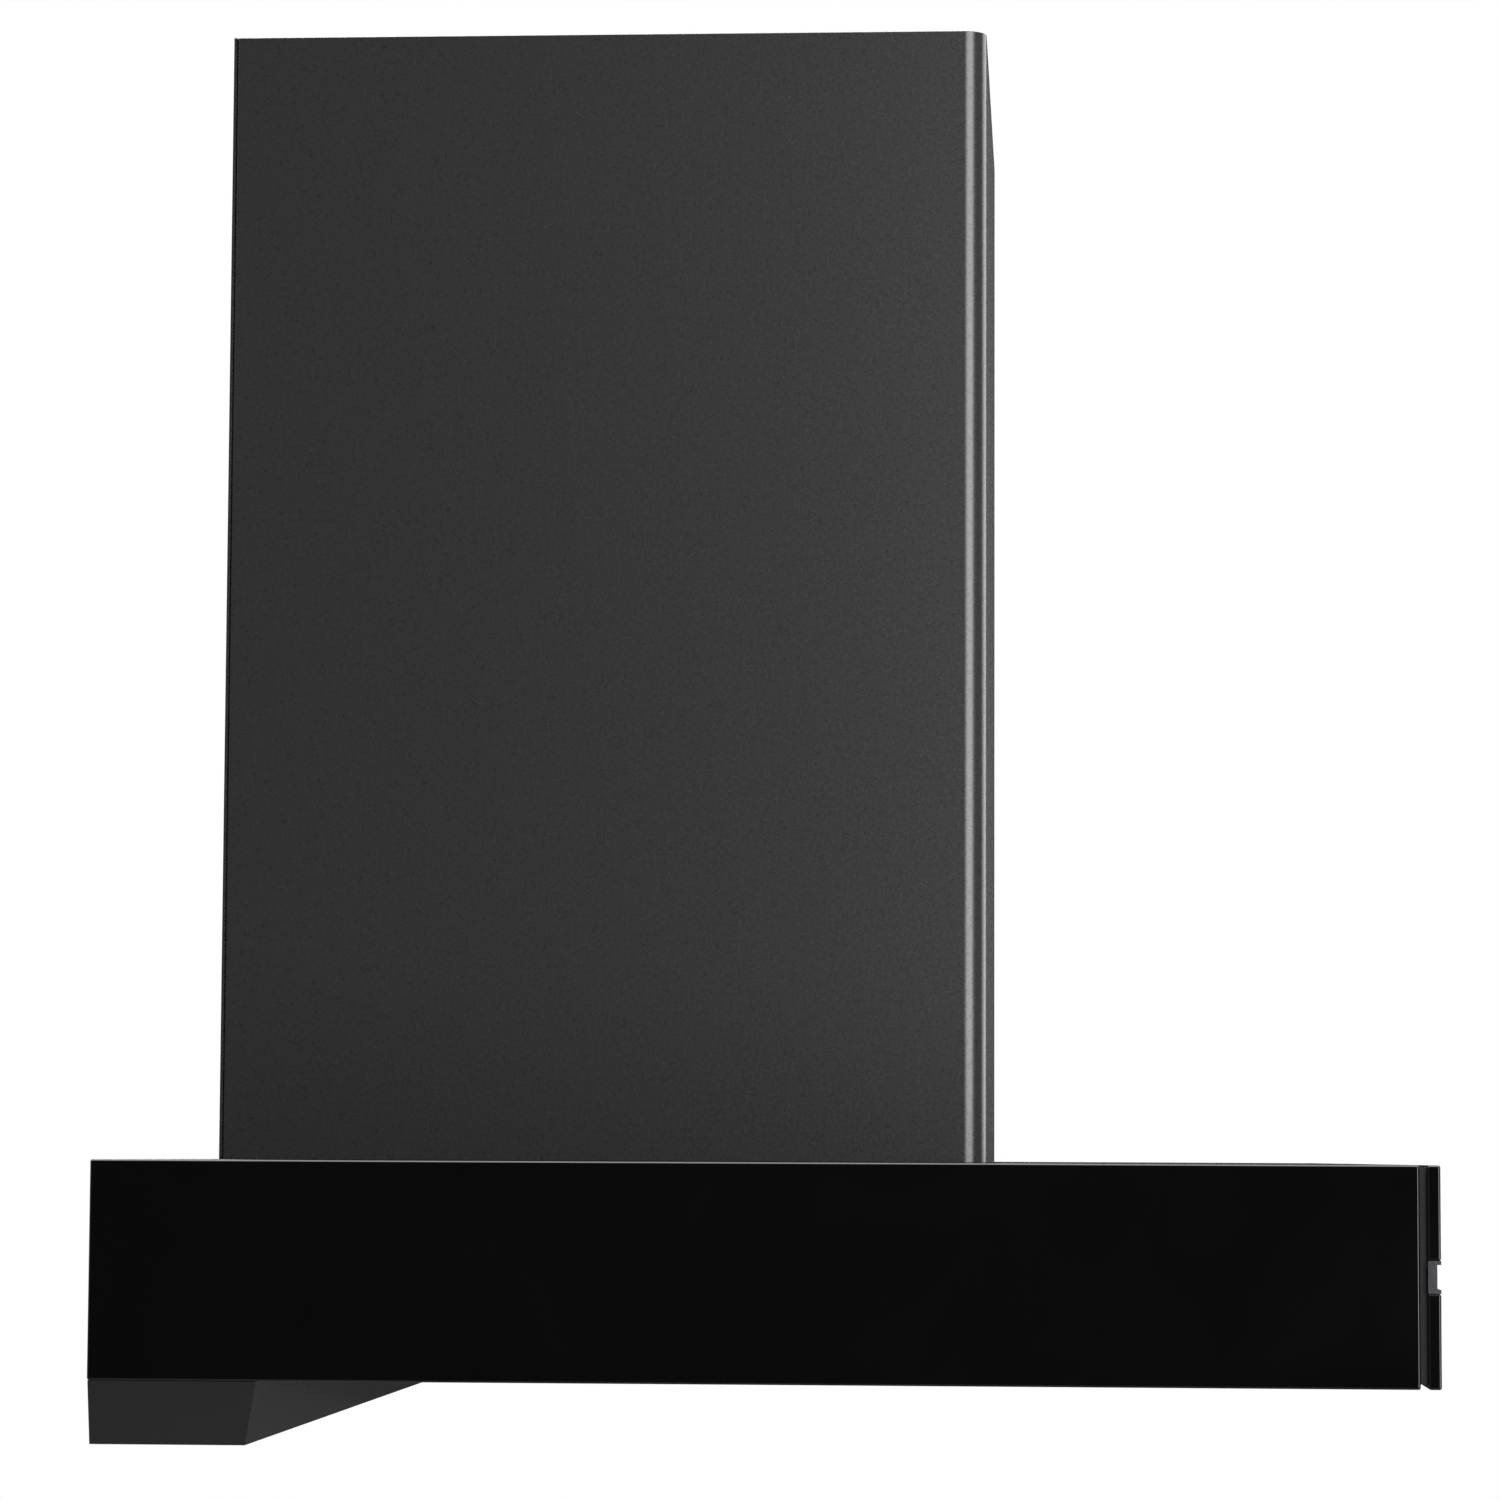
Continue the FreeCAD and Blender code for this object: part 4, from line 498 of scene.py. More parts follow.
def flat(outline):
    """A mesh of one face, from corner points in metres."""
    mesh = bpy.data.meshes.new("outline")
    mesh.from_pydata([tuple(p) for p in outline], [], [tuple(range(len(outline)))])
    return mesh


print("rules can be made")

# %% [markdown]
# ## Turned pieces
# Screws, nuts, lenses and caps are round about an axis, as if cut on a lathe. A list of rows, each a
# radius and a height in millimetres, is spun about Z; a third number gives a row flat sides, which makes
# hexagons. The poles close on one point, so nothing is left open.

# %% The lathe
def turned(rows, steps=24, loop=False):
    """A closed mesh spun about Z from rows of radius, height and perhaps a number of flats."""
    shape = bmesh.new()
    rings = []
    for radius, height, *flats in rows:
        ring = []
        for step in range(steps if radius else 1):
            angle = math.tau * step / steps
            reach = radius * MM
            if flats:
                sector = math.tau / flats[0]
                reach *= math.cos(sector / 2) / math.cos(angle % sector - sector / 2)
            ring.append(shape.verts.new((reach * math.cos(angle), reach * math.sin(angle), height * MM)))
        rings.append(ring)
    for inner, outer in list(zip(rings, rings[1:])) + ([(rings[-1], rings[0])] if loop else []):
        for step in range(steps):
            after = (step + 1) % steps
            corners = [inner[step % len(inner)], inner[after % len(inner)],
                       outer[after % len(outer)], outer[step % len(outer)]]
            shape.faces.new(list(dict.fromkeys(corners)))
    bmesh.ops.recalc_face_normals(shape, faces=shape.faces)
    mesh = bpy.data.meshes.new("turned")
    shape.to_mesh(mesh)
    shape.free()
    return mesh


def laid(mesh, axis, centre):
    """Turns a mesh's Z to an axis and moves its origin to a centre."""
    mesh.transform(Matrix.Translation(centre) @ Vector(axis).to_track_quat("Z", "Y").to_matrix().to_4x4())
    return mesh


print("lathe ready: a nut has", len(turned([(3, 0), (5.8, 0, 6), (5.8, 5, 6), (3, 5)], loop=True).polygons), "faces")

# %% [markdown]
# ## Where the fasteners are
# The solids already hold a plain pin for each screw. Their places could be typed in, but then they would
# drift when a size changes, so each loose solid in a node is found and measured: its axis is the one
# along which its points lie in the fewest planes, and its head is at the wider end.

# %% Find and measure each fastener
def islands(node):
    """The points of each separate solid in a CAD node, in a fixed order."""
    shape = bmesh.new()
    shape.from_mesh(frame["nodes"][node].data)
    bmesh.ops.remove_doubles(shape, verts=shape.verts, dist=WELD)
    found, seen = [], set()
    for start in shape.verts:
        if start in seen:
            continue
        seen.add(start)
        group = [start]
        for point in group:
            for edge in point.link_edges:
                other = edge.other_vert(point)
                if other not in seen:
                    seen.add(other)
                    group.append(other)
        found.append([point.co.copy() for point in group])
    shape.free()
    return sorted(found, key=lambda points: tuple(round(sum(c) / len(points), 5) for c in zip(*points)))


def corners(points):
    """The lowest and highest corner round some points."""
    return Vector(map(min, zip(*points))), Vector(map(max, zip(*points)))


def fasteners(node):
    """For each solid: the middle of its head's face, the way it faces, and its length."""
    rows = []
    for points in islands(node):
        low, high = corners(points)
        axis = min(range(3), key=lambda a: len({round(p[a], 5) for p in points}))
        middle = (low + high) / 2
        across = [i for i in range(3) if i != axis]
        spread = {end: max(math.dist([p[i] for i in across], [middle[i] for i in across])
                           for p in points if abs(p[axis] - end) < WELD) for end in (low[axis], high[axis])}
        head = max(spread, key=spread.get)
        face = Vector([head if i == axis else middle[i] for i in range(3)])
        facing = Vector([(1.0 if head == high[axis] else -1.0) if i == axis else 0.0 for i in range(3)])
        rows.append((face, facing, round((high - low)[axis] / MM, 1)))
    return rows


print("first flush screw:", fasteners("flush_screws")[0])

# %% [markdown]
# ## Screws and bolts
# A screw is made once on the lathe and stood at each place by a rule: it turns the screw to face the way
# the place says, then spins it by a random angle from a fixed seed, because no one lines up screws. The
# hexagon sockets are only a few faces each, so a screw stays light.

# %% The screw rule
rule_screws, given = new_rule("screws_at_places", Screw="Object", Seed="Int")
facing = add(rule_screws, "GeometryNodeInputNamedAttribute", {"Name": "facing"}, data_type="FLOAT_VECTOR")
spin = add(rule_screws, "FunctionNodeRandomValue", {2: 0.0, 3: math.tau, "Seed": given["Seed"]}, data_type="FLOAT")
stood = add(rule_screws, "FunctionNodeAlignRotationToVector", {"Vector": facing.outputs[0]}, axis="Z")
turn = add(rule_screws, "FunctionNodeAxisAngleToRotation", {"Axis": (0.0, 0.0, 1.0), "Angle": spin.outputs[1]})
both = add(rule_screws, "FunctionNodeRotateRotation", {0: stood.outputs[0], 1: turn.outputs[0]},
           rotation_space="LOCAL")
screw = add(rule_screws, "GeometryNodeObjectInfo", {"Object": given["Screw"]})
placed = add(rule_screws, "GeometryNodeInstanceOnPoints",
             {"Points": given["Geometry"], "Instance": screw.outputs["Geometry"], "Rotation": both.outputs[0]})
end_rule(rule_screws, given, placed.outputs[0])


def screws_at(places, shape, slot, seed):
    """One mesh of a turned shape stood at each (face, facing) place."""
    points = bpy.data.meshes.new("places")
    points.from_pydata([tuple(face) for face, facing in places], [], [])
    way = points.attributes.new("facing", "FLOAT_VECTOR", "POINT")
    for i, (face, facing) in enumerate(places):
        way.data[i].vector = facing
    model = bpy.data.objects.new("screw", shape)
    bpy.context.scene.collection.objects.link(model)
    mesh = grow(rule_screws, points, slot, Screw=model, Seed=seed)
    bpy.data.objects.remove(model)
    return mesh


print("screw rule has", len(rule_screws.nodes), "nodes")

# %% [markdown]
# Flush screws are countersunk, with a 2.5 mm hexagon socket; pan-head screws stand proud inside; frame
# bolts are M6 with plain hexagon heads and nuts. Each has the small lead-in and chamfers that a real one
# is rolled or forged with.

# %% Every screw and bolt
SOCKET = [(0, -1.4), (1.2, -1.3, 6), (1.3, -0.1, 6), (1.45, 0, 6)]
HEXAGON = [(0, 0), (4.7, 0), (5.77, -0.55, 6), (5.77, -4, 6), (3, -4)]
NUT_THICK = 5.0
NUT = [(3, -0.4), (3.4, 0), (4.7, 0), (5.77, -0.55, 6), (5.77, -4.45, 6), (4.7, -5), (3.4, -5), (3, -4.6)]


def stem(radius, length):
    """The rows of a screw's shank down to its blunt tip."""
    return [(radius, 0.6 - length), (radius - 0.6, -length), (0, -length)]


def kinds_of(node):
    """Fastener places grouped by length."""
    groups = {}
    for face, facing, length in fasteners(node):
        groups.setdefault(length, []).append((face, facing))
    return groups


for node, head, radius in (
    ("flush_screws", SOCKET + [(3.45, 0), (3.6, -0.15), (2, -2.2)], 2),
    ("pan_screws", SOCKET + [(2.3, 0), (3.1, -0.3), (3.5, -0.9), (3.6, -1.6), (3.6, -2.2), (2, -2.2)], 2),
    ("frame_bolts", HEXAGON, 3),
):
    meshes = []
    for seed, (length, places) in enumerate(sorted(kinds_of(node).items())):
        is_nut = node == "frame_bolts" and length == NUT_THICK
        shape = turned(NUT, loop=True) if is_nut else turned(head + stem(radius, length))
        meshes.append(screws_at(places, shape, "zinc_fasteners", seed))
    finished(f"{node}_turned", joined(*meshes), "zinc_fasteners", BODY_OF[node], (node,))

# %% [markdown]
# ## The chimney's folded cover
# The cover is one sheet of 1.2 mm steel with four bends: two wide ones of 10 mm at the front corners and
# two tight ones at the rear, where 30 mm lips turn in behind the back panel. A box with a bevel would
# look alike from outside, but a rule that fillets a bent line and raises it to full height is how the
# press makes it, and it shades smoothly round the corner, where all of its shine is.

# %% Fold the cover
rule_fold, given = new_rule("folded_sheet", Height="Float", Steps="Int")
bent = add(rule_fold, "GeometryNodeMeshToCurve", {"Mesh": given["Geometry"]})
radius = add(rule_fold, "GeometryNodeInputNamedAttribute", {"Name": "bend"}, data_type="FLOAT")
fillet = add(rule_fold, "GeometryNodeFilletCurve",
             {"Curve": bent.outputs[0], "Count": given["Steps"], "Radius": radius.outputs[0]}, mode="POLY")
line = add(rule_fold, "GeometryNodeCurveToMesh", {"Curve": fillet.outputs[0]})
height = add(rule_fold, "ShaderNodeCombineXYZ", {"X": 0.0, "Y": 0.0, "Z": given["Height"]})
raised = add(rule_fold, "GeometryNodeExtrudeMesh",
             {"Mesh": line.outputs[0], "Offset": height.outputs[0], "Offset Scale": 1.0}, mode="EDGES")
end_rule(rule_fold, given, raised.outputs[0])

SHEET = 1.2 * MM
FRONT_BEND, REAR_BEND, LIP = 9.4 * MM, 1.2 * MM, 30 * MM
low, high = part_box("chimney_cover")
side, front, rear = high.x - SHEET / 2, low.y + SHEET / 2, high.y - SHEET / 2
fold = bpy.data.meshes.new("fold")
fold.from_pydata([(side - LIP, rear, low.z), (side, rear, low.z), (side, front, low.z),
                  (-side, front, low.z), (-side, rear, low.z), (LIP - side, rear, low.z)],
                 [(i, i + 1) for i in range(5)], [])
bend = fold.attributes.new("bend", "FLOAT", "POINT")
bend.data.foreach_set("value", [0, REAR_BEND, FRONT_BEND, FRONT_BEND, REAR_BEND, 0])
cover = grow(rule_fold, fold, "graphite_paint", Height=high.z - low.z, Steps=14)
finished("chimney_cover_folded", cover, "graphite_paint", BODY_OF["chimney_cover"], ("chimney_cover",),
         edge=0.25, wall=SHEET / MM)

# %% [markdown]
# ## Baffles
# A baffle filter is two rows of folded channels that overlap like interlocked fingers, so greasy air has
# to turn twice. One channel's outline is drawn once, with a 1.2 mm bend at each corner; the rule extrudes
# it along the filter and repeats it at the channels' pitch. The run follows the latch's own slide, which
# lies along the tilted filter, and the pitch is measured between the solids.

# %% Repeat the channels
rule_bars, given = new_rule("bars_in_a_row", Run="Vector", Count="Int", Pitch="Vector")
bar = add(rule_bars, "GeometryNodeExtrudeMesh",
          {"Mesh": given["Geometry"], "Offset": given["Run"], "Offset Scale": 1.0, "Individual": False}, mode="FACES")
back = add(rule_bars, "GeometryNodeFlipFaces", {"Mesh": given["Geometry"]})
shut = add(rule_bars, "GeometryNodeJoinGeometry", {0: [bar.outputs[0], back.outputs[0]]})
whole = add(rule_bars, "GeometryNodeMergeByDistance", {"Geometry": shut.outputs[0], "Distance": WELD})
row = add(rule_bars, "GeometryNodeMeshLine", {"Count": given["Count"], "Offset": given["Pitch"]}, mode="OFFSET")
rank = add(rule_bars, "GeometryNodeInstanceOnPoints", {"Points": row.outputs[0], "Instance": whole.outputs[0]})
end_rule(rule_bars, given, rank.outputs[0])

CHANNEL_HALF, CHANNEL_WALL, CHANNEL_GAUGE, CHANNEL_BEND = 8 * MM, 6 * MM, 0.8 * MM, 1.6 * MM
back_to_front = -Vector(JOINT["latch_left_slide"]["axis"])
upright = Vector((1, 0, 0)).cross(back_to_front).normalized() * -1


def channel_outline(steps=4):
    """The closed outline of a folded channel, as pairs across and up from its floor's middle."""
    points = []
    for radius, inset in ((CHANNEL_BEND, 0.0), (CHANNEL_BEND - CHANNEL_GAUGE, CHANNEL_GAUGE)):
        half = CHANNEL_HALF - inset
        corner = [(half - radius + radius * math.sin(a), inset + radius - radius * math.cos(a))
                  for a in (math.pi / 2 * step / steps for step in range(steps + 1))]
        wall = [(-half, CHANNEL_WALL)] + [(-x, y) for x, y in reversed(corner)] + corner + [(half, CHANNEL_WALL)]
        points += wall if not points else wall[::-1]
    return points


for hand in ("left", "right"):
    node = f"filter_baffles_{hand}"
    boxes = [corners(points) for points in islands(node)]
    floor_of = {True: [], False: []}
    for low, high in boxes:
        floor_of[low.z < min(b[0].z for b in boxes) + 1 * MM].append((low, high))
    meshes = []
    for is_lower, rows in floor_of.items():
        low, high = rows[0]
        rise = 1 if is_lower else -1
        start = Vector(((low.x + high.x) / 2, high.y - CHANNEL_WALL * upright.y, low.z))
        start += upright * (0 if is_lower else CHANNEL_WALL)
        outline = [start + Vector((across, 0, 0)) + upright * up * rise for across, up in channel_outline()]
        length = (high.y - low.y - CHANNEL_WALL * upright.y) / abs(back_to_front.y)
        pitch = (rows[-1][0].x - low.x) / (len(rows) - 1)
        meshes.append(grow(rule_bars, flat(outline), "stainless_filter", Run=back_to_front * length,
                           Count=len(rows), Pitch=(pitch, 0.0, 0.0)))
    finished(f"{node}_folded", joined(*meshes), "stainless_filter", BODY_OF[node], (node,))
print(f"channels every {pitch / MM:.2f} mm, tilt {math.degrees(math.asin(back_to_front.z)):.1f} degrees")

# %% [markdown]
# ## Springs behind the latches
# Each latch is pushed home by a small coil of wire. A Spiral curve is its centre line and a circle is its
# wire.

# %% Wind the springs
rule_spring, given = new_rule("coil_spring", Turns="Float", Radius="Float", Length="Float", Wire="Float")
helix = add(rule_spring, "GeometryNodeCurveSpiral", {"Resolution": 16, "Rotations": given["Turns"],
            "Start Radius": given["Radius"], "End Radius": given["Radius"], "Height": given["Length"]})
wire = add(rule_spring, "GeometryNodeCurvePrimitiveCircle", {"Resolution": 8, "Radius": given["Wire"]})
wound = add(rule_spring, "GeometryNodeCurveToMesh",
            {"Curve": helix.outputs[0], "Profile Curve": wire.outputs[0], "Fill Caps": True})
end_rule(rule_spring, given, wound.outputs[0])

WIRE, SPRING_TURNS = 0.3 * MM, 5.0
for hand in ("left", "right"):
    node = f"latch_spring_{hand}"
    low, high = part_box(node)
    coil = (high.x - low.x) / 2 - WIRE
    along = Vector(JOINT[f"latch_{hand}_slide"]["axis"])
    length = (high.y - low.y) / along.y - 2 * WIRE
    coil_mesh = grow(rule_spring, bpy.data.meshes.new("none"), "spring_steel", Turns=SPRING_TURNS, Radius=coil,
                     Length=length, Wire=WIRE)
    start = (low + high) / 2 - along * length / 2
    spring = finished(f"{node}_wound", laid(coil_mesh, along, start), "spring_steel", BODY_OF[node], (node,))
    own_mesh(spring)

# %% [markdown]
# ## Pieces set round an axis
# Impeller blades, heat-sink fins and motor coils are all one shape repeated round an axis. The rule puts
# every copy at the centre and turns each by its index's share of a full turn, so the shape is drawn once,
# where the first one stands.

# %% The ring rule
rule_ring, given = new_rule("ring_about_axis", Count="Int", Axis="Vector", Centre="Vector")
index = add(rule_ring, "GeometryNodeInputIndex", {})
share = add(rule_ring, "ShaderNodeMath", {0: index.outputs[0], 1: given["Count"]}, operation="DIVIDE")
angle = add(rule_ring, "ShaderNodeMath", {0: share.outputs[0], 1: math.tau}, operation="MULTIPLY")
rotation = add(rule_ring, "FunctionNodeAxisAngleToRotation", {"Axis": given["Axis"], "Angle": angle.outputs[0]})
spots = add(rule_ring, "GeometryNodeMeshLine", {"Count": given["Count"], "Start Location": given["Centre"],
            "Offset": (0.0, 0.0, 0.0)}, mode="OFFSET")
ringed = add(rule_ring, "GeometryNodeInstanceOnPoints",
             {"Points": spots.outputs[0], "Instance": given["Geometry"], "Rotation": rotation.outputs[0]})
end_rule(rule_ring, given, ringed.outputs[0])


def bar_between(outline, run, slot):
    """One bar: an outline in metres extruded along a run."""
    return grow(rule_bars, flat(outline), slot, Run=run, Count=1, Pitch=(0.0, 0.0, 0.0))


print("ring rule has", len(rule_ring.nodes), "nodes")

# %% [markdown]
# ## The impeller
# A centrifugal wheel has forward-curved blades between two rims, riveted to a middle disc on the hub. The
# blade's outline is an arc from the inner to the outer radius; the rule stands thirty-six of them round X.
# Rims, disc and hub are turned. Its sizes come from the solid's box and its own radii.

# %% Blades, rims, disc and hub
BLADES, BLADE_INNER, BLADE_GAUGE, BLADE_BOW, RIM, HUB, BORE = 36, 66, 1.0, 3.0, 2, 12, 4.05
low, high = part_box("impeller")
wheel = (low + high) / 2
outer, half = (high.z - low.z) / 2 / MM, (high.x - low.x) / 2 / MM


def blade_outline(steps=5):
    """The curved section of a blade, across the wheel's axis."""
    middle = [(BLADE_INNER + 0.6 + (outer - BLADE_INNER - 1.2) * t, BLADE_BOW * math.sin(math.pi * t))
              for t in (i / steps for i in range(steps + 1))]
    loop = [(r, b + BLADE_GAUGE / 2) for r, b in middle] + [(r, b - BLADE_GAUGE / 2) for r, b in reversed(middle)]
    return [Vector((-half + RIM / 2, b, r)) * MM for r, b in loop]


blade = bar_between(blade_outline(), Vector(((2 * half - RIM) * MM, 0, 0)), "impeller_zinc")
blades = grow(rule_ring, blade, "impeller_zinc", Count=BLADES, Axis=(1.0, 0.0, 0.0), Centre=wheel)
side_rows = [(BORE, 15), (HUB, 15), (HUB, 1.5), (BLADE_INNER - 3, 1.5), (BLADE_INNER, 2.5), (outer - 0.5, 2.5),
             (outer, 2)]
body = [(radius, -height) for radius, height in side_rows] + side_rows[::-1]
turnings = [laid(turned(body, 72, loop=True), (1, 0, 0), wheel)]
for end in (-1, 1):
    rim = [(BLADE_INNER, -RIM / 2), (outer - 0.4, -RIM / 2), (outer, -RIM / 2 + 0.4), (outer, RIM / 2 - 0.4),
           (outer - 0.4, RIM / 2), (BLADE_INNER, RIM / 2)]
    turnings.append(laid(turned(rim, 72, loop=True), (1, 0, 0), wheel + Vector((end * (half - RIM / 2) * MM, 0, 0))))
finished("impeller_bladed", joined(blades, *turnings), "impeller_zinc", BODY_OF["impeller"], ("impeller",))

# %% [markdown]
# ## Motor windings
# Copper coils loop out of the stator's slots at both ends of its stack. The solid stops at the stack, so
# the coil ends are added: one bundle is a bar bent over a tooth, and twelve stand round the axis at each
# end. They stay between the rotor and the shell.

# %% Coil ends
low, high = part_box("motor_stator")
core = (low + high) / 2
COILS, COIL_NEAR, COIL_FAR, COIL_REACH = 12, 28.5, 37, 7.5


def coil_bundle(end):
    """One coil end: a rounded bridge of wire over a tooth, at the stack's end."""
    face = (high.x if end > 0 else low.x) - core.x
    profile = []
    for t in (i / 8 for i in range(9)):
        profile.append(Vector((face + end * COIL_REACH * MM * math.sin(math.pi * t) ** 0.6, (t - 0.5) * 13 * MM, 0)))
    inner = [p + Vector((end * -1.5 * MM * math.sin(math.pi * i / 8), -p.y * 0.45, 0)) for i, p in enumerate(profile)]
    loop = [p + Vector((0, 0, COIL_NEAR * MM)) for p in profile + inner[::-1][1:-1]]
    return bar_between(loop, Vector((0, 0, (COIL_FAR - COIL_NEAR) * MM)), "winding")


coils = [grow(rule_ring, coil_bundle(end), "winding", Count=COILS, Axis=(1.0, 0.0, 0.0), Centre=core)
         for end in (-1, 1)]
finished("stator_windings", joined(*coils), "winding", BODY_OF["motor_stator"], edge=0.5)

# %% [markdown]
# ## Lights
# An LED spot in a hood is a die-cast body with fins that shed its heat, behind an opal lens pressed with
# fine rings that spread the light. The fins are a ring of bars about the vertical; the lens is turned with
# a small wave in its face every 1.5 mm. Both lights are made in one pass.

# %% Finned bodies and ringed lenses
FINS, CORE_RADIUS, LENS_RING, LENS_WAVE = 24, 21, 1.5, 0.12
bodies, lenses = [], []
for points in islands("light_modules"):
    low, high = corners(points)
    reach, deep = (high.x - low.x) / 2 / MM, (high.z - low.z) / MM
    foot = Vector(((low.x + high.x) / 2, (low.y + high.y) / 2, low.z))
    fin = [Vector(p) * MM for p in ((CORE_RADIUS - 1, -0.6, 2.5), (CORE_RADIUS - 1, 0.6, 2.5),
                                    (reach - 0.2, 0.6, 2.5), (reach - 0.2, -0.6, 2.5))]
    fins = grow(rule_ring, bar_between(fin, Vector((0, 0, (deep - 2.5) * MM)), "led_heat_sink"), "led_heat_sink",
                Count=FINS, Axis=(0.0, 0.0, 1.0), Centre=foot)
    can = [(0, 0), (reach - 0.5, 0), (reach, 0.5), (reach, 3), (CORE_RADIUS + 1, 3), (CORE_RADIUS, 4),
           (CORE_RADIUS, deep - 1), (CORE_RADIUS - 1, deep), (0, deep)]
    bodies += [fins, laid(turned(can, 48), (0, 0, 1), foot)]
for points in islands("light_lenses"):
    low, high = corners(points)
    reach, thick = (high.x - low.x) / 2 / MM, (high.z - low.z) / MM
    rings = int((reach - 1.5) / LENS_RING)
    face = [(LENS_RING * i / 2, LENS_WAVE * (i % 2)) for i in range(2 * rings + 1)]
    lens = face + [(reach - 0.3, 0), (reach, 0.3), (reach, thick), (0, thick)]
    lenses.append(laid(turned(lens, 48), (0, 0, 1), ((low.x + high.x) / 2, (low.y + high.y) / 2, low.z)))
finished("light_modules_finned", joined(*bodies), "led_heat_sink", BODY_OF["light_modules"], ("light_modules",))
finished("light_lenses_ringed", joined(*lenses), "frosted_lens", BODY_OF["light_lenses"], ("light_lenses",))

# %% [markdown]
# ## Capacitor and terminals
# The motor's run capacitor is a moulded can with a crimped rim and two tab terminals. The terminal
# block's clamping screws are hexagon-socket brass, one at the bottom of each of its three wells, for
# line, neutral and earth. Each is a lathe piece or a repeat of one of the rules above.

# %% Small electrical pieces
low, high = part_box("run_capacitor")
middle, reach = (low + high) / 2, (high.z - low.z) / 2 / MM
long = (high.x - low.x) / MM
can = [(0, 0), (reach - 2, 0), (reach - 0.6, 0.6), (reach, 2), (reach, long - 5), (reach - 0.7, long - 4.4),
       (reach, long - 3.6), (reach, long - 2.5), (reach - 0.6, long - 2), (reach - 1.6, long - 2),
       (reach - 2.2, long - 3.2), (0, long - 3.2)]
TAB_HALF, TAB_WIDE, TAB_LONG, TAB_APART = 0.4, 3.15, 3.2, 5
tab_section = ((-TAB_HALF, -TAB_WIDE), (TAB_HALF, -TAB_WIDE), (TAB_HALF, TAB_WIDE), (-TAB_HALF, TAB_WIDE))
tabs = [bar_between([middle + Vector((long / 2 - TAB_LONG - 0.1, y + dy, dz)) * MM for dy, dz in tab_section],
                    Vector((TAB_LONG * MM, 0, 0)), "zinc_fasteners") for y in (-TAB_APART, TAB_APART)]
finished("run_capacitor_can", laid(turned(can, 48), (1, 0, 0), (low.x, middle.y, middle.z)), "ivory_plastic",
         BODY_OF["run_capacitor"], ("run_capacitor",))
finished("run_capacitor_tabs", joined(*tabs), "zinc_fasteners", BODY_OF["run_capacitor"])

low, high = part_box("terminal_block")
WELLS, WELL_PITCH, WELL_DEPTH, CLAMP = 3, 12.5 * MM, 6 * MM, 1.6 * MM
top = (low + high) / 2 + Vector((0, 0, (high.z - low.z) / 2 - WELL_DEPTH + CLAMP))
places = [(top + Vector(((well - (WELLS - 1) / 2) * WELL_PITCH, 0, 0)), Vector((0, 0, 1))) for well in range(WELLS)]
clamp = turned([(0, -1.0), (1.3, -1.0, 6), (1.4, 0, 6), (2.7, 0), (3.1, -0.4), (3.1, -1.5), (0, -1.5)])
finished("terminal_screws", screws_at(places, clamp, "brass", 7), "brass", BODY_OF["terminal_block"])

# %% [markdown]
# ## The rest of the stage
# The hood hangs over a plain pale floor that runs far past every view. The lights are soft boxes, as in a
# studio: one wide one overhead, one tall one at the front left whose reflection fills the near half of the
# chimney's rounded corner, one at the front right that draws the bright line at the corner's far side, and
# two dim ones that keep the right side and the back readable. Nothing shines from straight left, and the
# floor glows white to the eye only, so the black glass and enamel mirror little and stay black.

# %% Floor, lights and surroundings
FLOOR_DROP, FLOOR_GLOW = 0.95, 0.96
finish = tree, shader, place = new_finish("stage_floor", "pale_studio_floor", "#6c6c6c", Roughness=0.8,
                                          Emission_Color=(1.0, 1.0, 1.0, 1.0))
seen = add(tree, "ShaderNodeLightPath", {})
lit = add(tree, "ShaderNodeMath", {0: seen.outputs["Is Camera Ray"], 1: FLOOR_GLOW}, operation="MULTIPLY")
tree.links.new(lit.outputs[0], shader.inputs["Emission Strength"])
wear = add(tree, "ShaderNodeTexNoise", {"Vector": place, "Scale": 1.5, "Detail": 2.0})
surface(finish, tone=(wear.outputs["Fac"], "#686868", "#707070"))
floor = bpy.data.objects.new("floor", turned([(0, 0), (9000, 0), (9000, -10), (0, -10)], 96))
floor.data.transform(Matrix.Translation((0, 0, CAD_BOX[0].z - FLOOR_DROP)))
floor.data.materials.append(FINISH["stage_floor"])
bpy.context.scene.collection.objects.link(floor)

AIM = Vector((0, 0, -0.3))
for name, place, width, tall, power in (
    ("overhead", (0, -0.2, 2.4), 3.4, 3.4, 170),
    ("front_left", (-2.7, -1.55, 0.0), 1.9, 2.6, 125),
    ("front_right", (1.85, -2.4, 0.1), 2.2, 2.6, 52),
    ("right", (2.9, 0.6, 1.9), 1.6, 1.6, 70),
    ("rear", (-0.6, 3.0, 2.0), 2.2, 1.6, 90),
):
    box = bpy.data.lights.new(name, "AREA")
    box.shape = "RECTANGLE"
    box.size, box.size_y, box.energy = width, tall, power
    lamp = bpy.data.objects.new(name, box)
    lamp.location = place
    lamp.rotation_mode = "QUATERNION"
    lamp.rotation_quaternion = (AIM - Vector(place)).to_track_quat("-Z", "Y")
    lamp.visible_camera = False
    bpy.context.scene.collection.objects.link(lamp)
print("stage: a floor and five soft boxes")

# %% [markdown]
# The surroundings are white to the eye and dim to the object, and darker still to its left and right,
# where a studio would hang black flags. A Light Path node tells the two apart.

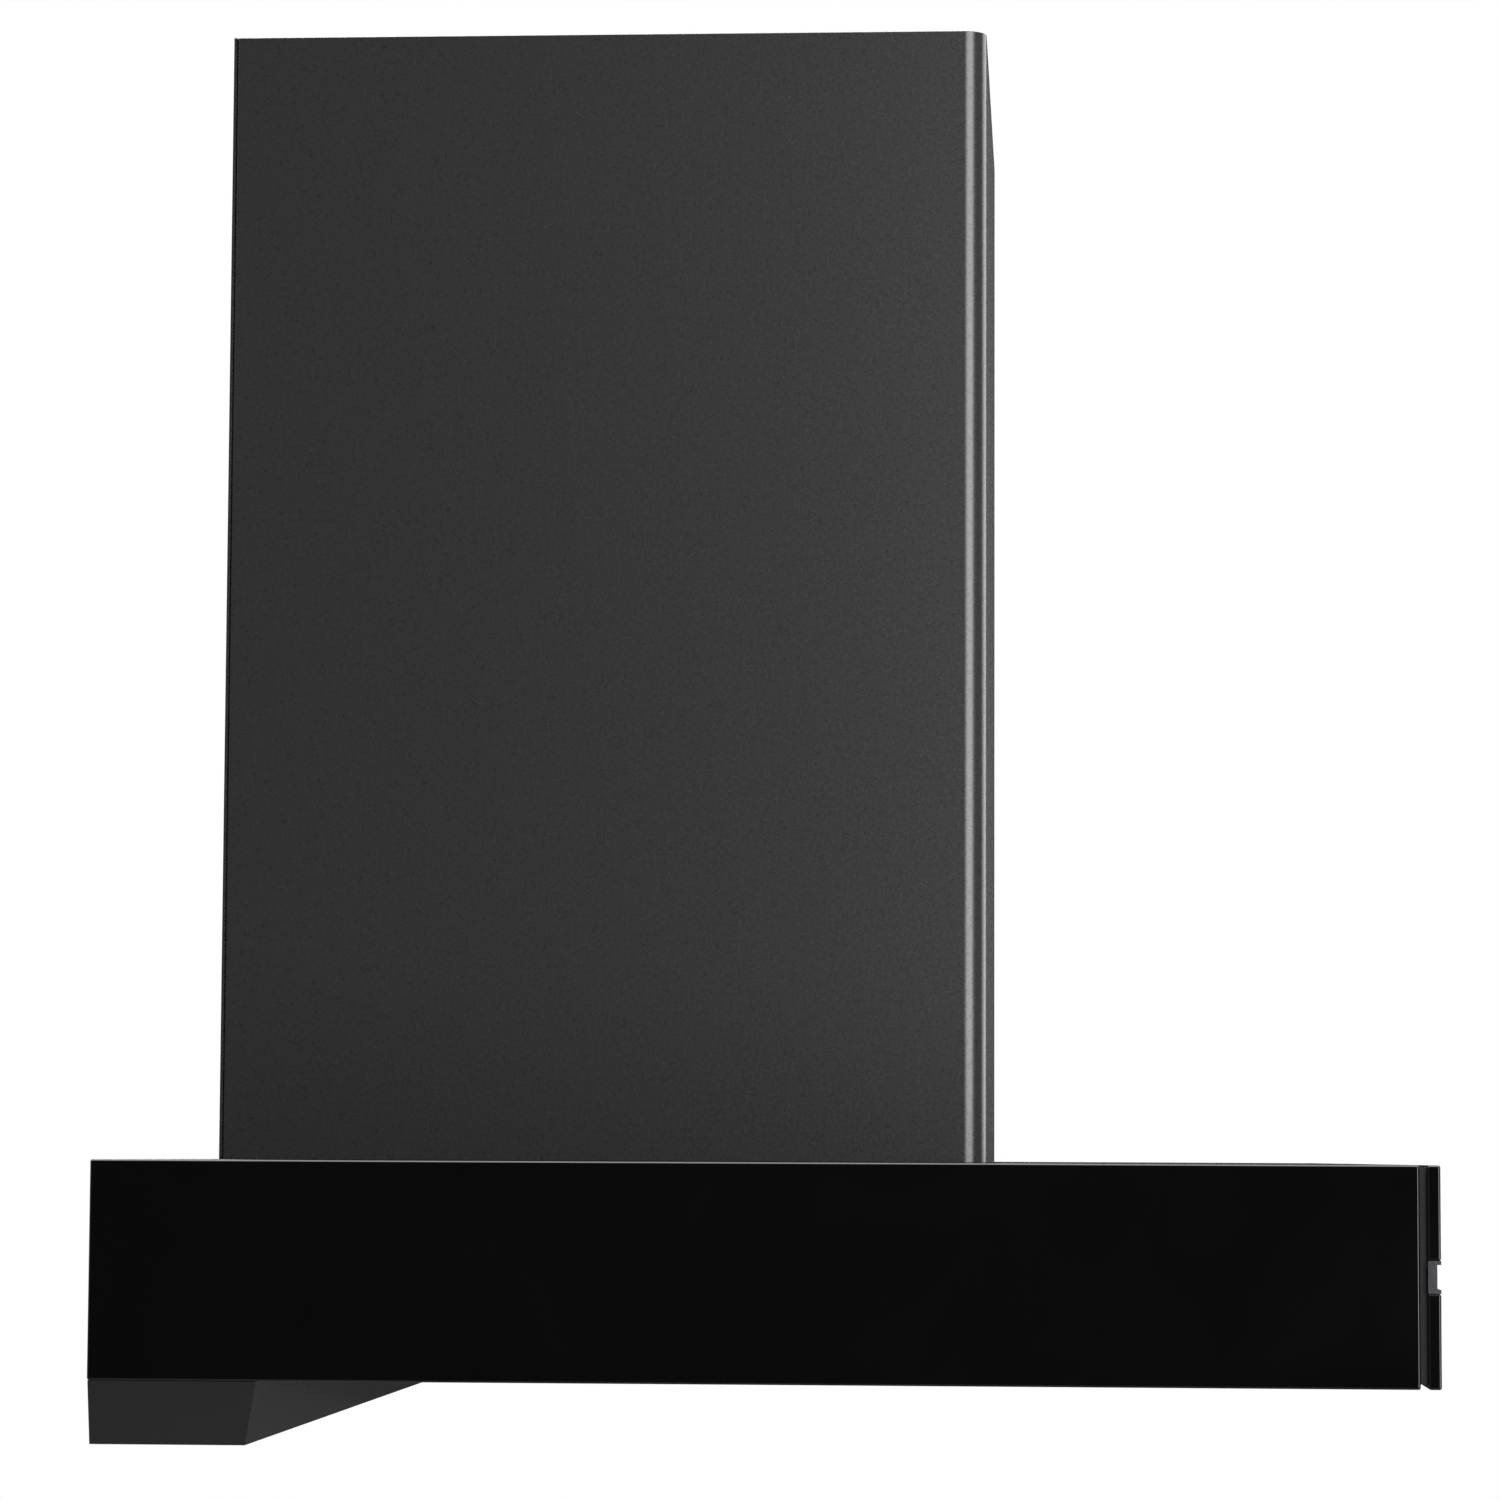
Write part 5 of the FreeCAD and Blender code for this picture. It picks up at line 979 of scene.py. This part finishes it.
# %% White to the eye, dim to the hood
world = bpy.data.worlds.new("studio")
bpy.context.scene.world = world
world.use_nodes = True
tree = world.node_tree
tree.nodes.clear()
FLAG_GREY, ROOM_GREY = 0.03, 0.28
FLAG_FROM, FLAG_UNTIL = 0.95, 0.55
way = add(tree, "ShaderNodeSeparateXYZ", {0: add(tree, "ShaderNodeTexCoord", {}).outputs["Generated"]})
sideways = add(tree, "ShaderNodeMath", {0: way.outputs[0]}, operation="ABSOLUTE")
room = add(tree, "ShaderNodeMapRange", {"Value": sideways.outputs[0], "From Min": FLAG_FROM, "From Max": FLAG_UNTIL,
                                        "To Min": FLAG_GREY, "To Max": ROOM_GREY})
eye = add(tree, "ShaderNodeLightPath", {})
level = add(tree, "ShaderNodeMix", {0: eye.outputs["Is Camera Ray"], 2: room.outputs[0], 3: 1.0})
glow = add(tree, "ShaderNodeBackground", {"Color": (1.0, 1.0, 1.0, 1.0), "Strength": level.outputs[0]})
add(tree, "ShaderNodeOutputWorld", {"Surface": glow.outputs[0]})
bpy.context.scene.view_settings.view_transform = "Standard"
print("surroundings set")

# %% [markdown]
# ## The camera
# The view is square to the hood's left side through a long lens, from about two metres, level with the
# canopy, so the side shows flat with only a sliver of its top. The camera is tipped up a little to take
# in the chimney, so the uprights draw together very slightly towards the top.

# %% Camera
LENS = 115.42
EYE = Vector((-2.3017, -0.201, -0.5081))
YAW, PITCH, ROLL = math.radians(3.61), math.radians(4.84), math.radians(0.266)
view = Vector((math.cos(YAW) * math.cos(PITCH), math.sin(YAW) * math.cos(PITCH), math.sin(PITCH)))
right = view.cross(Vector((0, 0, 1))).normalized()
up = right.cross(view)
right, up = right * math.cos(ROLL) + up * math.sin(ROLL), up * math.cos(ROLL) - right * math.sin(ROLL)
camera_data = bpy.data.cameras.new("camera")
camera_data.lens = LENS
camera = bpy.data.objects.new("camera", camera_data)
camera.matrix_world = Matrix((right, up, -view)).transposed().to_4x4()
camera.location = EYE
bpy.context.scene.collection.objects.link(camera)
bpy.context.scene.camera = camera
print(f"camera {LENS} mm at {tuple(EYE)}")
